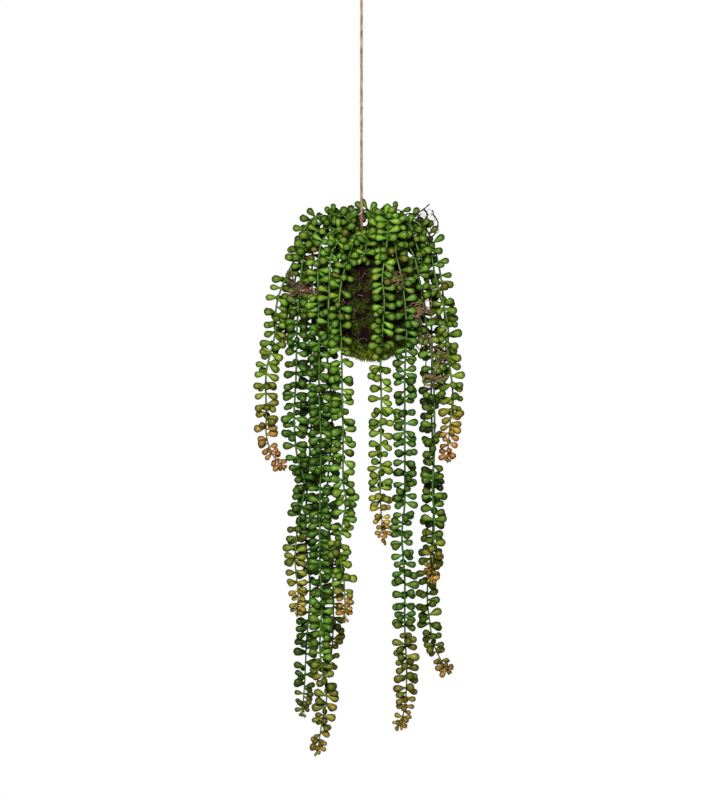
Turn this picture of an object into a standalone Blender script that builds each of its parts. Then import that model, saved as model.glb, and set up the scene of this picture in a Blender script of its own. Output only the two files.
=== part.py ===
"""A trailing senecio that grows from a moss ball, hung on jute twine.

Metres, +Z up, +X to the right, -Y to the front. The origin is the inside of the hanging loop's top,
where a hook carries it. The plant's sizes and routes are in millimetres from the middle of the ball,
and the empty ball_centre puts that point in its place below the loop.
"""

import math
import random

import bmesh
import bpy
from mathutils import Matrix, Vector, noise

MM = 0.001

# Where the middle of the ball hangs, from the inside of the loop's top
BALL_BELOW = 378.0
BALL_RIGHT = 11.4

# The moss ball
BALL_RADIUS = 56.5
BALL_HALF_HEIGHT = 58.0
BALL_LUMP = 1.6
BALL_LUMP_SPAN = 21.0
HOLE_GAP = 0.5
HOLE_SIDES = 6
ROOT_DEPTH = 12.0
BALL_CLEAR = 3.0

# The twine, its two knots and the wire eye that it is tied to
TWINE_RADIUS = 1.6
TWINE_STEP = 9.0
EYE_WIRE_RADIUS = 1.0
EYE_HALF_WIDTH = 3.0
EYE_TOP = 83.0
EYE_FOOT = 38.0
LINK_RADIUS = 1.5
LINK_HALF_WIDTH = 3.6
LINK_HALF_HEIGHT = 5.2
FOOT_KNOT_RADIUS = 2.8
FOOT_KNOT_LENGTH = 10.0
LOOP_HALF_WIDTH = 9.0
LOOP_HALF_HEIGHT = 17.0
TOP_KNOT_RADIUS = 4.2
TOP_KNOT_LENGTH = 9.5
TOUCH = 0.3
EYE_STEPS = 8
LINK_STEPS = 10
LOOP_STEPS = 18
BAR_SIDES = 8
KNOT_SIDES = 10
# A knot's outline: how high and how wide, as shares of its length and radius
KNOT_LEVELS = ((0.0, 0.6), (0.2, 1.0), (0.8, 1.0), (1.0, 0.6))

# Stems and leaves
STEM_RADIUS = 1.1
STEM_TIP = 0.62
STEM_STEP = 1.5
STEM_SLACK = 0.6
TAPER_FROM = 0.75
LEAF_LENGTH = 13.5
LEAF_HALF_WIDTH = 3.9
LEAF_ROOM = 0.4
LEAF_SPREAD = (0.93, 1.07)
YOUNG_STRETCH = 42.0
YOUNG_SIZE = 0.45
YOUNG_APART = 0.45
LEAF_APART = (19.2, 23.2)
FIRST_LEAF = (5.0, 11.0)
STEM_TWIST = 25.0
SIDE_SPREAD = 28.0
WIDER_TRY = 0.25
LEAF_LEAN = (-16.0, 30.0)
LEAF_TRIES = 16
OWN_STEM = 6.0
TUFT_LEAVES = 3
TUFT_LEAN = (42.0, 50.0, 58.0)
TUFT_BACK = (2.0, 3.5, 5.0)
BARE_TIP = 4.0
CROWN_YOUNG = 0.85
HANGING_SHORT = ("stem_short_left", "stem_short_right")
SEED = 7

# Rings of a leaf's cage from root to end: how far out and how wide, as shares
LEAF_RINGS = ((0.0, 0.0), (0.62, 1.0), (0.88, 0.8), (1.0, 0.0))

# Balls that stand for one leaf where room is looked for: how far out and how wide, as shares
LEAF_BALLS = ((0.33, 0.5), (0.5, 0.78), (0.66, 1.0), (0.8, 0.88))
CELL = 9.0

# Root sprigs
SPRIG_RADIUS = 0.85
SPRIG_TIP = 0.6
SPRIG_SLACK = 0.25

# Routes of the leafy stems, from where each one leaves the ball to its tip
STEMS = {
    "stem_far_left": [(-22, 3, 55), (-24, 3, 70), (-31, 2, 85), (-48, 0, 96), (-65, -2, 93),
                      (-75, -3, 77), (-79, -4, 58), (-93, -6, 30), (-103, -6, 0), (-105, -8, -33),
                      (-114, -8, -73), (-114, -6, -117), (-114, -5, -141), (-107, -4, -162),
                      (-94, -2, -177)],
    "stem_left": [(-25, -8, 52), (-28, -10, 69), (-41, -14, 82), (-58, -17, 80), (-70, -17, 64),
                  (-76, -16, 38), (-79, -14, 5), (-81, -12, -32), (-82, -10, -79), (-84, -8, -122),
                  (-81, -6, -162), (-73, -4, -194), (-80, -3, -238), (-83, -2, -275),
                  (-80, -1, -310), (-81, 0, -334)],
    "stem_left_back": [(-22, 13, 55), (-26, 15, 75), (-37, 18, 90), (-53, 22, 90), (-63, 24, 72),
                       (-65, 24, 38), (-65, 22, -27), (-67, 20, -81), (-66, 19, -135),
                       (-70, 18, -194), (-72, 17, -248), (-67, 16, -308), (-71, 15, -367),
                       (-73, 15, -410), (-76, 15, -446)],
    "stem_left_front": [(-21, -15, 51), (-24, -18, 68), (-31, -22, 81), (-43, -25, 79),
                        (-54, -28, 67), (-58, -28, 43), (-58, -27, 11), (-57, -25, -38),
                        (-57, -25, -92), (-55, -25, -146), (-56, -25, -211), (-56, -25, -278),
                        (-54, -25, -324), (-56, -25, -373), (-49, -24, -421), (-54, -24, -450),
                        (-59, -23, -484)],
    "stem_centre_back": [(-13, 20, 59), (-16, 25, 77), (-26, 31, 92), (-39, 37, 91), (-46, 42, 70),
                         (-49, 43, 27), (-49, 42, -49), (-44, 42, -103), (-44, 41, -146),
                         (-49, 41, -211), (-43, 41, -281), (-42, 41, -340), (-44, 41, -378),
                         (-50, 40, -403)],
    "stem_front_left": [(-13, -25, 46), (-13, -30, 64), (-18, -38, 70), (-24, -46, 54),
                        (-30, -52, 35), (-35, -57, 5), (-33, -57, -38), (-32, -55, -92),
                        (-31, -54, -146), (-31, -53, -189), (-28, -53, -213), (-35, -52, -259),
                        (-30, -51, -297), (-29, -50, -341)],
    "stem_front_right": [(8, -19, 51), (5, -21, 75), (9, -26, 93), (15, -35, 96), (17, -45, 83),
                         (16, -54, 67), (13, -61, 46), (11, -64, 27), (13, -65, 3), (11, -65, -29),
                         (9, -64, -65), (10, -62, -108), (9, -60, -162), (9, -58, -213),
                         (13, -57, -255)],
    "stem_right_front": [(15, -15, 53), (18, -18, 72), (23, -25, 87), (26, -35, 86), (25, -43, 72),
                         (26, -49, 52), (31, -53, 32), (35, -55, 3), (37, -55, -32), (35, -54, -72),
                         (35, -52, -113), (35, -50, -162), (35, -49, -211), (32, -49, -248),
                         (35, -48, -297), (35, -47, -346), (37, -46, -394), (35, -45, -432),
                         (27, -45, -457)],
    "stem_right_inner": [(22, -9, 52), (25, -13, 67), (31, -19, 72), (38, -26, 65), (45, -31, 52),
                         (50, -33, 32), (54, -31, 5), (59, -28, -27), (65, -24, -62),
                         (67, -21, -103), (67, -20, -157), (65, -20, -200), (67, -20, -228),
                         (66, -20, -262), (63, -20, -299)],
    "stem_right_back": [(17, 12, 59), (23, 15, 77), (32, 18, 89), (44, 20, 86), (54, 21, 71),
                        (59, 21, 43), (63, 19, 5), (65, 17, -49), (64, 16, -103), (66, 15, -157),
                        (67, 15, -211), (65, 15, -258), (60, 14, -308), (62, 13, -340),
                        (68, 12, -370), (83, 10, -399)],
    "stem_far_right": [(23, 1, 57), (28, 0, 73), (38, -3, 87), (49, -5, 89), (57, -7, 77),
                       (64, -8, 53), (69, -9, 27), (77, -10, 0), (82, -11, -25), (82, -12, -54),
                       (87, -11, -94), (84, -10, -130), (81, -8, -168)],
    "stem_short_left": [(-19, 7, 58), (-25, 8, 78), (-35, 8, 93), (-51, 9, 93), (-66, 11, 79),
                        (-76, 14, 57), (-83, 16, 29), (-87, 17, 0), (-92, 17, -22), (-98, 17, -37)],
    "stem_short_front": [(-18, -20, 49), (-24, -28, 65), (-32, -36, 70), (-42, -42, 59),
                         (-45, -45, 40), (-46, -46, 14), (-47, -47, -14), (-46, -46, -42)],
    "stem_short_crown": [(-11, -12, 55), (-16, -11, 76), (-25, -11, 91), (-35, -12, 98),
                         (-44, -13, 97), (-51, -14, 91)],
    "stem_short_top": [(1, -8, 57), (1, -7, 78), (-1, -3, 95), (-4, 5, 103), (-9, 13, 102),
                       (-13, 20, 93)],
    "stem_short_back_left": [(-5, 24, 59), (-9, 28, 80), (-17, 33, 95), (-25, 43, 93),
                             (-29, 52, 75), (-31, 58, 46), (-33, 60, 5), (-35, 58, -38)],
    "stem_short_back": [(3, 23, 59), (4, 28, 80), (6, 36, 94), (9, 47, 92), (10, 57, 75),
                        (11, 62, 46), (12, 63, 5), (10, 61, -43)],
    "stem_short_back_right": [(10, 20, 59), (16, 26, 78), (25, 33, 92), (32, 43, 89), (37, 50, 69),
                              (39, 53, 40), (40, 54, 5), (38, 51, -36)],
    "stem_short_right": [(19, 6, 58), (25, 8, 76), (36, 9, 91), (49, 9, 92), (60, 9, 80),
                         (69, 9, 56), (75, 9, 27), (78, 7, -5), (80, 5, -43), (75, 5, -85)],
    "stem_short_right_top": [(12, 2, 58), (14, 2, 78), (18, 1, 95), (26, 0, 103), (35, -2, 99)],
    "stem_short_front_right": [(0, -18, 51), (-2, -24, 68), (-5, -33, 75), (-6, -42, 64),
                               (-9, -48, 46)],
    "stem_short_right_front": [(18, -4, 55), (23, -7, 75), (31, -11, 87), (41, -17, 85),
                               (46, -21, 70), (52, -22, 51), (56, -21, 27)],
}

# Dry root sprigs: the trunk from where it leaves the ball, then its branches
SPRIGS = {
    "sprig_top_right": [
        [(12, 11, 59), (17, 9, 77), (27, 5, 87), (35, 3, 97), (41, 3, 99), (48, 4, 99),
         (56, 5, 104), (63, 6, 110)],
        [(56, 5, 104), (60, 4, 97), (55, 1, 90)],
        [(48, 4, 99), (51, 3, 96), (53, 3, 90)],
        [(27, 5, 87), (41, 3, 83), (52, 2, 78), (63, 1, 73), (70, 0, 81), (71, 0, 90), (67, 0, 97),
         (65, 0, 104)],
    ],
    "sprig_left": [
        [(-50, -22, 12), (-59, -18, 14), (-70, -19, 14), (-78, -21, 14), (-85, -17, 10),
         (-92, -15, 12)],
        [(-78, -21, 14), (-84, -21, 24), (-88, -19, 38)],
        [(-59, -18, 14), (-66, -20, 6), (-62, -21, -2)],
        [(-70, -19, 14), (-74, -23, 20), (-68, -24, 24)],
    ],
    "sprig_front": [
        [(28, -44, 24), (24, -51, 28), (19, -53, 32), (22, -52, 38)],
        [(24, -51, 28), (22, -53, 20), (26, -54, 15)],
    ],
    "sprig_right": [
        [(41, -40, -1), (44, -46, -2), (50, -45, -5), (57, -43, -4), (63, -40, -2), (63, -38, 3),
         (56, -40, 5)],
        [(50, -45, -5), (49, -46, -14), (47, -45, -27)],
        [(57, -43, -4), (64, -40, -14), (70, -36, -13)],
    ],
    "sprig_low_right": [
        [(46, -12, -31), (53, -14, -36), (57, -14, -42), (65, -12, -54), (66, -10, -68),
         (73, -8, -81), (79, -6, -90)],
        [(57, -14, -42), (66, -13, -39), (71, -9, -44)],
        [(65, -12, -54), (58, -10, -62), (61, -8, -72)],
        [(53, -14, -36), (48, -18, -43), (43, -20, -43)],
    ],
    "sprig_back": [
        [(-14, 51, 20), (-12, 59, 23), (-3, 61, 20), (2, 59, 12), (-2, 58, 4)],
        [(-3, 61, 20), (0, 63, 28), (-5, 64, 34)],
    ],
}


def linear(red, green, blue):
    """A colour for a shader, from its 0 to 255 screen values."""
    return tuple((v / 255) ** 2.2 for v in (red, green, blue)) + (1.0,)


# Colours and how rough each surface is
LEAF_GREEN = (linear(92, 132, 52), 0.5)
MOSS_BROWN = (linear(48, 42, 22), 0.95)
JUTE_TAN = (linear(186, 156, 118), 0.9)
ROOT_BROWN = (linear(110, 74, 52), 0.85)
WIRE_RUST = (linear(92, 58, 44), 0.6)


def clear_scene():
    for obj in list(bpy.data.objects):
        bpy.data.objects.remove(obj, do_unlink=True)


def finish(name, look, metallic=0.0):
    colour, roughness = look
    material = bpy.data.materials.get(name) or bpy.data.materials.new(name)
    material.use_nodes = True
    shader = material.node_tree.nodes["Principled BSDF"]
    shader.inputs["Base Color"].default_value = colour
    shader.inputs["Roughness"].default_value = roughness
    shader.inputs["Metallic"].default_value = metallic
    return material


def place(obj, collection, parent=None, material=None):
    collection.objects.link(obj)
    obj.parent = parent
    if material:
        obj.data.materials.append(material)
    return obj


def tube(name, points, radius, sides, thickness=None, closed=False):
    """A round bar along the points, given in millimetres, as a mesh with welded caps."""
    curve = bpy.data.curves.new(name, "CURVE")
    curve.dimensions = "3D"
    curve.bevel_depth = radius * MM
    curve.bevel_resolution = (sides - 4) // 2
    curve.use_fill_caps = not closed
    spline = curve.splines.new("POLY")
    spline.points.add(len(points) - 1)
    spline.use_cyclic_u = closed
    for i, point in enumerate(points):
        spline.points[i].co = (*(Vector(point) * MM), 1)
        spline.points[i].radius = thickness[i] if thickness else 1.0
    wire = bpy.data.objects.new(name, curve)
    bpy.context.scene.collection.objects.link(wire)
    shown = wire.evaluated_get(bpy.context.evaluated_depsgraph_get())
    mesh = bpy.data.meshes.new_from_object(shown)
    mesh.name = name
    bpy.data.objects.remove(wire)
    bm = bmesh.new()
    bm.from_mesh(mesh)
    bmesh.ops.remove_doubles(bm, verts=bm.verts, dist=0.001 * MM)
    bm.to_mesh(mesh)
    bm.free()
    return bpy.data.objects.new(name, mesh)


def combine(body, pieces, operation, solver="EXACT"):
    """One Boolean of all the pieces with the body, applied, after which the pieces are removed."""
    group = bpy.data.collections.new("pieces")
    bpy.context.scene.collection.children.link(group)
    for piece in pieces:
        group.objects.link(piece)
    boolean = body.modifiers.new("combine", "BOOLEAN")
    boolean.operation = operation
    boolean.operand_type = "COLLECTION"
    boolean.collection = group
    boolean.solver = solver
    shown = body.evaluated_get(bpy.context.evaluated_depsgraph_get())
    mesh = bpy.data.meshes.new_from_object(shown)
    body.modifiers.clear()
    body.data = mesh
    for piece in pieces:
        bpy.data.objects.remove(piece)
    bpy.data.collections.remove(group)


def smooth(route, per_span=14):
    """Points on a smooth curve through the route's points, STEM_STEP apart."""
    route = [Vector(p) for p in route]
    ends = [route[0] * 2 - route[1]] + route + [route[-1] * 2 - route[-2]]
    line = []
    for a, b, c, d in zip(ends, ends[1:], ends[2:], ends[3:]):
        for k in range(per_span):
            t = k / per_span
            line.append(0.5 * (2 * b + (c - a) * t + (2 * a - 5 * b + 4 * c - d) * t * t
                               + (3 * b - a - 3 * c + d) * t ** 3))
    line.append(route[-1])
    even, left = [line[0]], STEM_STEP
    for a, b in zip(line, line[1:]):
        span = (b - a).length
        while span >= left:
            a = a.lerp(b, left / span)
            even.append(a)
            span = (b - a).length
            left = STEM_STEP
        left -= span
    return even


def above_ball(point):
    """Roughly how far a point is outside the ball."""
    share = math.hypot(point.x, point.y) / BALL_RADIUS, point.z / BALL_HALF_HEIGHT
    return (math.hypot(*share) - 1) * BALL_RADIUS


def rooted(route):
    """The route with its buried end first, straight in from where it leaves the ball."""
    first = Vector(route[0])
    way = (Vector(route[1]) - first).normalized()
    return [first - way * (ROOT_DEPTH + max(0.0, above_ball(first)))] + list(route)


def leaves_ball(line):
    """The place in the line where it is clear of the ball's surface."""
    return next(i for i, point in enumerate(line) if above_ball(point) > BALL_CLEAR)


def few(line, slack, fixed=0):
    """Only the points that a bar needs to stay within the slack of the line, and the fixed one."""
    keep = {0, fixed, len(line) - 1}
    ends = sorted(keep)
    todo = list(zip(ends, ends[1:]))
    while todo:
        a, b = todo.pop()
        along = (line[b] - line[a]).normalized()
        away = [(line[i] - line[a]).cross(along).length for i in range(a + 1, b)]
        if a >= fixed and away and max(away) > slack:
            far = a + 1 + away.index(max(away))
            keep.add(far)
            todo += [(a, far), (far, b)]
    return sorted(keep)


def directions(line):
    """The direction of the line at each of its points, and one side of it that doesn't twist."""
    along = [(b - a).normalized() for a, b in zip(line, line[1:])]
    along.append(along[-1])
    side, sides = along[0].orthogonal().normalized(), []
    for way in along:
        side = (side - way * side.dot(way)).normalized()
        sides.append(side)
    return along, sides


class Crowd:
    """Balls that stand for all that has grown so far, filed by the cell they lie in."""

    def __init__(self):
        self.cells = {}

    def cell(self, point):
        return tuple(math.floor(v / CELL) for v in point)

    def add(self, point, radius, owner=None, at=0.0):
        self.cells.setdefault(self.cell(point), []).append((point, radius, owner, at))

    def has_room(self, point, radius, owner, at):
        if above_ball(point) < radius + BALL_LUMP + LEAF_ROOM:
            return False
        x, y, z = self.cell(point)
        for cell in ((x + i, y + j, z + k) for i in (-1, 0, 1) for j in (-1, 0, 1) for k in (-1, 0, 1)):
            for other, wide, whose, where in self.cells.get(cell, ()):
                if whose == owner and abs(where - at) < OWN_STEM:
                    continue
                if (other - point).length < radius + wide + LEAF_ROOM:
                    return False
        return True


def leaf_fits(leaf, crowd, owner, at):
    root, way, length, wide = leaf
    return all(
        crowd.has_room(root + way * length * out, wide * share, owner, at)
        for out, share in LEAF_BALLS
    )


def keep_leaf(leaf, crowd):
    root, way, length, wide = leaf
    for out, share in LEAF_BALLS:
        crowd.add(root + way * length * out, wide * share)


def leaf_at(line, ways, at, turn, lean, size):
    """A leaf whose root is on the line, as its root, direction, length and half width."""
    along, sides = ways
    i = min(int(at / STEM_STEP), len(line) - 1)
    out = Matrix.Rotation(turn, 3, along[i]) @ sides[i]
    way = (out * math.cos(lean) + along[i] * math.sin(lean)).normalized()
    return line[i], way, LEAF_LENGTH * size, LEAF_HALF_WIDTH * size


def grown(to_tip, young):
    """The size of a leaf by how far it is from its stem's tip."""
    share = min(1.0, to_tip / YOUNG_STRETCH)
    return young + (1 - young) * share


def young_size(name):
    """The size of the leaves at a stem's tip: small on a long stem, nearly full in the crown."""
    crown = name.startswith("stem_short_") and name not in HANGING_SHORT
    return CROWN_YOUNG if crown else YOUNG_SIZE


def flat_turn(ways, at):
    """The turn round the stem that lays a leaf out to one side of it, as seen from the front."""
    along, sides = ways
    i = min(int(at / STEM_STEP), len(along) - 1)
    flat = along[i].cross(Vector((0, 1, 0)))
    return math.atan2(sides[i].cross(flat).dot(along[i]), sides[i].dot(flat))


def main_leaves(name, line, crowd, rng):
    """Leaves on the stem's two sides, each where there is room for it, and a tuft at the tip."""
    ways, young = directions(line), young_size(name)
    long = (len(line) - 1) * STEM_STEP
    at = leaves_ball(line) * STEM_STEP + rng.uniform(*FIRST_LEAF)
    twist = math.radians(rng.uniform(-STEM_TWIST, STEM_TWIST))
    side, leaves = rng.choice((0, 1)), []
    while at < long - BARE_TIP:
        size = grown(long - at, young) * rng.uniform(*LEAF_SPREAD)
        for attempt in range(LEAF_TRIES):
            spread = math.radians(rng.gauss(0, SIDE_SPREAD * (1 + WIDER_TRY * attempt)))
            turn = flat_turn(ways, at) + twist + math.pi * (side + attempt) + spread
            lean = math.radians(rng.uniform(*LEAF_LEAN))
            leaf = leaf_at(line, ways, at, turn, lean, size)
            if leaf_fits(leaf, crowd, name, at):
                keep_leaf(leaf, crowd)
                leaves.append(leaf)
                break
        side += 1
        at += rng.uniform(*LEAF_APART) * (YOUNG_APART + (1 - YOUNG_APART) * grown(long - at, young))
    turn = twist
    for lean, back in zip(TUFT_LEAN, TUFT_BACK):
        turn += math.tau / TUFT_LEAVES
        leaf = leaf_at(line, ways, long - back, turn, math.radians(lean), young)
        if leaf_fits(leaf, crowd, name, long):
            keep_leaf(leaf, crowd)
            leaves.append(leaf)
    return leaves


def fill_crowd(lines, sprigs):
    """The stems, sprigs, wire and twine that no leaf may touch."""
    crowd = Crowd()
    for name, line in lines.items():
        for i, point in enumerate(line):
            crowd.add(point, STEM_RADIUS, name, i * STEM_STEP)
    for branches in sprigs.values():
        for line in branches:
            for point in line:
                crowd.add(point, SPRIG_RADIUS)
    for k in range(int((BALL_BELOW - BALL_HALF_HEIGHT) / 2)):
        crowd.add(Vector((-BALL_RIGHT, 0, BALL_HALF_HEIGHT + 2 * k)), EYE_HALF_WIDTH + EYE_WIRE_RADIUS)
    return crowd


def ball_radius_at(way):
    """How far the lumpy surface of the ball is from its middle in one direction."""
    flat = 1 / math.hypot(math.hypot(way.x, way.y) / BALL_RADIUS, way.z / BALL_HALF_HEIGHT)
    return flat + BALL_LUMP * noise.noise(way * flat / BALL_LUMP_SPAN)


def moss_ball(collection, parent, holes):
    """A lumpy ball of soil and moss, with a plain hole for every stem, sprig and wire leg."""
    mesh = bpy.data.meshes.new("moss_ball")
    bm = bmesh.new()
    bmesh.ops.create_icosphere(bm, subdivisions=4, radius=1)
    for vert in bm.verts:
        way = vert.co.normalized()
        vert.co = way * ball_radius_at(way) * MM
    bm.to_mesh(mesh)
    bm.free()
    ball = bpy.data.objects.new("moss_ball", mesh)
    place(ball, collection, parent, finish("moss", MOSS_BROWN))
    combine(ball, holes, "DIFFERENCE")


def hole(line, radius):
    """The cutter for a plain hole round the buried end of a line."""
    high = line[leaves_ball(line)]
    low = line[0] - (high - line[0]).normalized() * HOLE_GAP
    wide = (radius + HOLE_GAP) / math.cos(math.pi / HOLE_SIDES)
    return tube("hole", [low, high], wide, HOLE_SIDES)


def leg_hole(leg):
    """The cutter for the hole of one leg of the wire eye."""
    wide = (EYE_WIRE_RADIUS + HOLE_GAP) / math.cos(math.pi / HOLE_SIDES)
    low = leg - Vector((0, 0, HOLE_GAP))
    high = Vector((leg.x, leg.y, BALL_HALF_HEIGHT + BALL_CLEAR))
    return tube("hole", [low, high], wide, HOLE_SIDES)


def leaf_cage():
    """A club with four sides: a point at its root, widest past its middle, with a blunt end."""
    mesh = bpy.data.meshes.new("leaf")
    bm = bmesh.new()
    bmesh.ops.create_uvsphere(bm, u_segments=4, v_segments=3, radius=1)
    heights = sorted({round(vert.co.z, 3) for vert in bm.verts})
    for vert in bm.verts:
        out, wide = LEAF_RINGS[heights.index(round(vert.co.z, 3))]
        flat = Vector((vert.co.x, vert.co.y, 0))
        vert.co = (flat.normalized() * wide if wide else Vector()) + Vector((0, 0, out))
    bm.to_mesh(mesh)
    bm.free()
    return mesh


def leaf_object(cage, leaf, parent):
    root, way, length, wide = leaf
    obj = bpy.data.objects.new("leaf", cage)
    turn = way.to_track_quat("Z", "Y").to_matrix().to_4x4()
    size = Matrix.Diagonal((wide * MM, wide * MM, length * MM, 1))
    obj.matrix_world = parent.matrix_world @ Matrix.Translation(root * MM) @ turn @ size
    return obj


def leafy_stem(name, line, leaves, cage, collection, parent):
    """One stem with its main leaves fused to it."""
    kept = few(line, STEM_SLACK, leaves_ball(line))
    long = len(line) - 1
    taper = [max(0.0, (i / long - TAPER_FROM) / (1 - TAPER_FROM)) for i in kept]
    thickness = [1 - (1 - STEM_TIP) * share for share in taper]
    body = tube(name, [line[i] for i in kept], STEM_RADIUS, 4, thickness)
    place(body, collection, parent, finish("leaf", LEAF_GREEN))
    bpy.context.view_layer.update()
    combine(body, [leaf_object(cage, leaf, parent) for leaf in leaves], "UNION")


def sprig(name, branches, collection, parent):
    """A dry root with its branches fused to it."""
    bars = []
    for number, line in enumerate(branches):
        kept = few(line, SPRIG_SLACK, 0 if number else leaves_ball(line))
        last = len(line) - 1
        thickness = [1 - (1 - SPRIG_TIP) * i / last for i in kept]
        bars.append(tube(name, [line[i] for i in kept], SPRIG_RADIUS, 4, thickness))
    trunk = place(bars[0], collection, parent, finish("dry_root", ROOT_BROWN))
    for bar in bars[1:]:
        bar.matrix_world = parent.matrix_world
    combine(trunk, bars[1:], "UNION")
    trunk.name = name


def ring(half_width, half_height, middle, across, count):
    """The points of an upright oval, in the plane of Z and the across direction."""
    return [
        middle + across * half_width * math.sin(math.tau * k / count)
        + Vector((0, 0, half_height * math.cos(math.tau * k / count)))
        for k in range(count)
    ]


def hanger(collection, parent):
    """The wire eye in the ball, the twine tied to it, and the loop at the top."""
    twine = Vector((-BALL_RIGHT, 0, 0))
    jute = finish("jute", JUTE_TAN)
    arch = [
        twine + Vector((EYE_HALF_WIDTH * math.cos(a), 0, EYE_TOP - EYE_HALF_WIDTH
                          + EYE_HALF_WIDTH * math.sin(a)))
        for a in (math.pi * k / EYE_STEPS for k in range(EYE_STEPS + 1))
    ]
    legs = [twine + Vector((s * EYE_HALF_WIDTH, 0, EYE_FOOT)) for s in (1, -1)]
    eye = tube("hanger_wire", [legs[0]] + arch + [legs[1]], EYE_WIRE_RADIUS, BAR_SIDES)
    place(eye, collection, parent, finish("rusty_wire", WIRE_RUST, 0.6))

    link_low = EYE_TOP - EYE_WIRE_RADIUS - TOUCH - LINK_RADIUS
    link_middle = twine + Vector((0, 0, link_low + LINK_HALF_HEIGHT))
    link_ring = ring(LINK_HALF_WIDTH, LINK_HALF_HEIGHT, link_middle, Vector((0, 1, 0)), LINK_STEPS)
    link = tube("foot_knot", link_ring, LINK_RADIUS, BAR_SIDES, closed=True)
    place(link, collection, parent, jute)
    knot_low = link_low + 2 * LINK_HALF_HEIGHT - LINK_RADIUS
    knot_high = knot_low + FOOT_KNOT_LENGTH
    combine(link, [barrel(twine, knot_low, knot_high, FOOT_KNOT_RADIUS, parent)], "UNION")

    loop_middle = twine + Vector((0, 0, BALL_BELOW + TWINE_RADIUS - LOOP_HALF_HEIGHT))
    loop_ring = ring(LOOP_HALF_WIDTH, LOOP_HALF_HEIGHT, loop_middle, Vector((1, 0, 0)), LOOP_STEPS)
    loop = tube("hanging_loop", loop_ring, TWINE_RADIUS, BAR_SIDES, closed=True)
    place(loop, collection, parent, jute)
    top_high = BALL_BELOW + TWINE_RADIUS - 2 * LOOP_HALF_HEIGHT + TWINE_RADIUS
    top_low = top_high - TOP_KNOT_LENGTH
    combine(loop, [barrel(twine, top_low, top_high, TOP_KNOT_RADIUS, parent)], "UNION")

    low, high = knot_high + TOUCH, top_low - TOUCH
    count = round((high - low) / TWINE_STEP)
    points = [twine + Vector((0, 0, low + (high - low) * k / count)) for k in range(count + 1)]
    place(tube("hanging_twine", points, TWINE_RADIUS, BAR_SIDES), collection, parent, jute)
    return legs


def barrel(middle, low, high, radius, parent):
    """The outer form of a knot: a short upright bar with rounded ends."""
    points = [middle + Vector((0, 0, low + (high - low) * share)) for share, _ in KNOT_LEVELS]
    obj = tube("barrel", points, radius, KNOT_SIDES, [wide for _, wide in KNOT_LEVELS])
    obj.matrix_world = parent.matrix_world
    return obj


def main():
    clear_scene()
    collection = bpy.data.collections.new("hanging_senecio")
    bpy.context.scene.collection.children.link(collection)
    centre = bpy.data.objects.new("ball_centre", None)
    place(centre, collection)
    centre.location = (BALL_RIGHT * MM, 0, -BALL_BELOW * MM)
    bpy.context.view_layer.update()

    lines = {name: smooth(rooted(route)) for name, route in STEMS.items()}
    sprigs = {
        name: [smooth(rooted(branches[0]))] + [smooth(branch) for branch in branches[1:]]
        for name, branches in SPRIGS.items()
    }
    legs = hanger(collection, centre)
    holes = [hole(line, STEM_RADIUS) for line in lines.values()]
    holes += [hole(branches[0], SPRIG_RADIUS) for branches in sprigs.values()]
    holes += [leg_hole(leg) for leg in legs]
    for cutter in holes:
        cutter.matrix_world = centre.matrix_world
    moss_ball(collection, centre, holes)

    crowd = fill_crowd(lines, sprigs)
    rng = random.Random(SEED)
    cage = leaf_cage()
    for name, line in lines.items():
        leaves = main_leaves(name, line, crowd, rng)
        leafy_stem(name, line, leaves, cage, collection, centre)
    for name, branches in sprigs.items():
        sprig(name, branches, collection, centre)


main()
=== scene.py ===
import math
import random

import bmesh
import bpy
from mathutils import Matrix, Vector, noise


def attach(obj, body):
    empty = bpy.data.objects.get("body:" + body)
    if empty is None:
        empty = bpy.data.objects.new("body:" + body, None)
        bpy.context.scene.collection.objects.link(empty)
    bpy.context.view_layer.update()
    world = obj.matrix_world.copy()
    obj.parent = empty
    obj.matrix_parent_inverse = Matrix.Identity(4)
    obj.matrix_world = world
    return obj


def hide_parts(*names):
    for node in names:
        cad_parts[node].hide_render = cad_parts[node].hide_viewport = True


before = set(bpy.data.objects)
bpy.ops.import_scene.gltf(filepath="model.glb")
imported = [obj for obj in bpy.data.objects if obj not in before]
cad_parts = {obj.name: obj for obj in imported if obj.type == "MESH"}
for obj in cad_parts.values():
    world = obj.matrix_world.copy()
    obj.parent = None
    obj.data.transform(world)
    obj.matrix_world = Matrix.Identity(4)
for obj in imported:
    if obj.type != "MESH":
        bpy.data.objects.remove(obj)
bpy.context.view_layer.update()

# The camera stands level and straight in front, as in the photo, and far off, so that the strands
# keep their places. The floor and the lights are a plain pale studio: one large soft light above the
# camera, a weaker one on each side and behind, and a white surround.
MM = 0.001
SEEN_HEIGHT = 0.864
SEEN_MIDDLE = Vector((0.0022, 0.0, -0.4806))
CAMERA_AWAY = 6.0
SENSOR = 36.0
SURROUND_LIGHT = 0.035
FLOOR_LEVEL = -1.45
FLOOR_RADIUS = 2.6
FLOOR_PALE = (0.82, 0.82, 0.81, 1)

# Each light: where it hangs from the plant's middle, how wide it is, and its power in watts
LIGHTS = {
    "key_light": ((-0.25, -2.25, 0.8), 0.8, 112.0),
    "left_light": ((-2.6, 0.6, 0.5), 0.7, 32.0),
    "right_light": ((2.6, 0.6, 0.5), 0.7, 32.0),
    "back_light": ((0.0, 2.6, 0.5), 0.7, 70.0),
}


def add_node(tree, kind, **settings):
    """A shader node, with its own settings and the values of its inputs."""
    node = tree.nodes.new(kind)
    for name, value in settings.items():
        if hasattr(node, name):
            setattr(node, name, value)
        else:
            node.inputs[name.replace("_", " ")].default_value = value
    return node


def join(tree, *links):
    """Links between nodes, each from a node's output to a node's input."""
    for start, output, end, entry in links:
        tree.links.new(start.outputs[output], end.inputs[entry])


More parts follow.
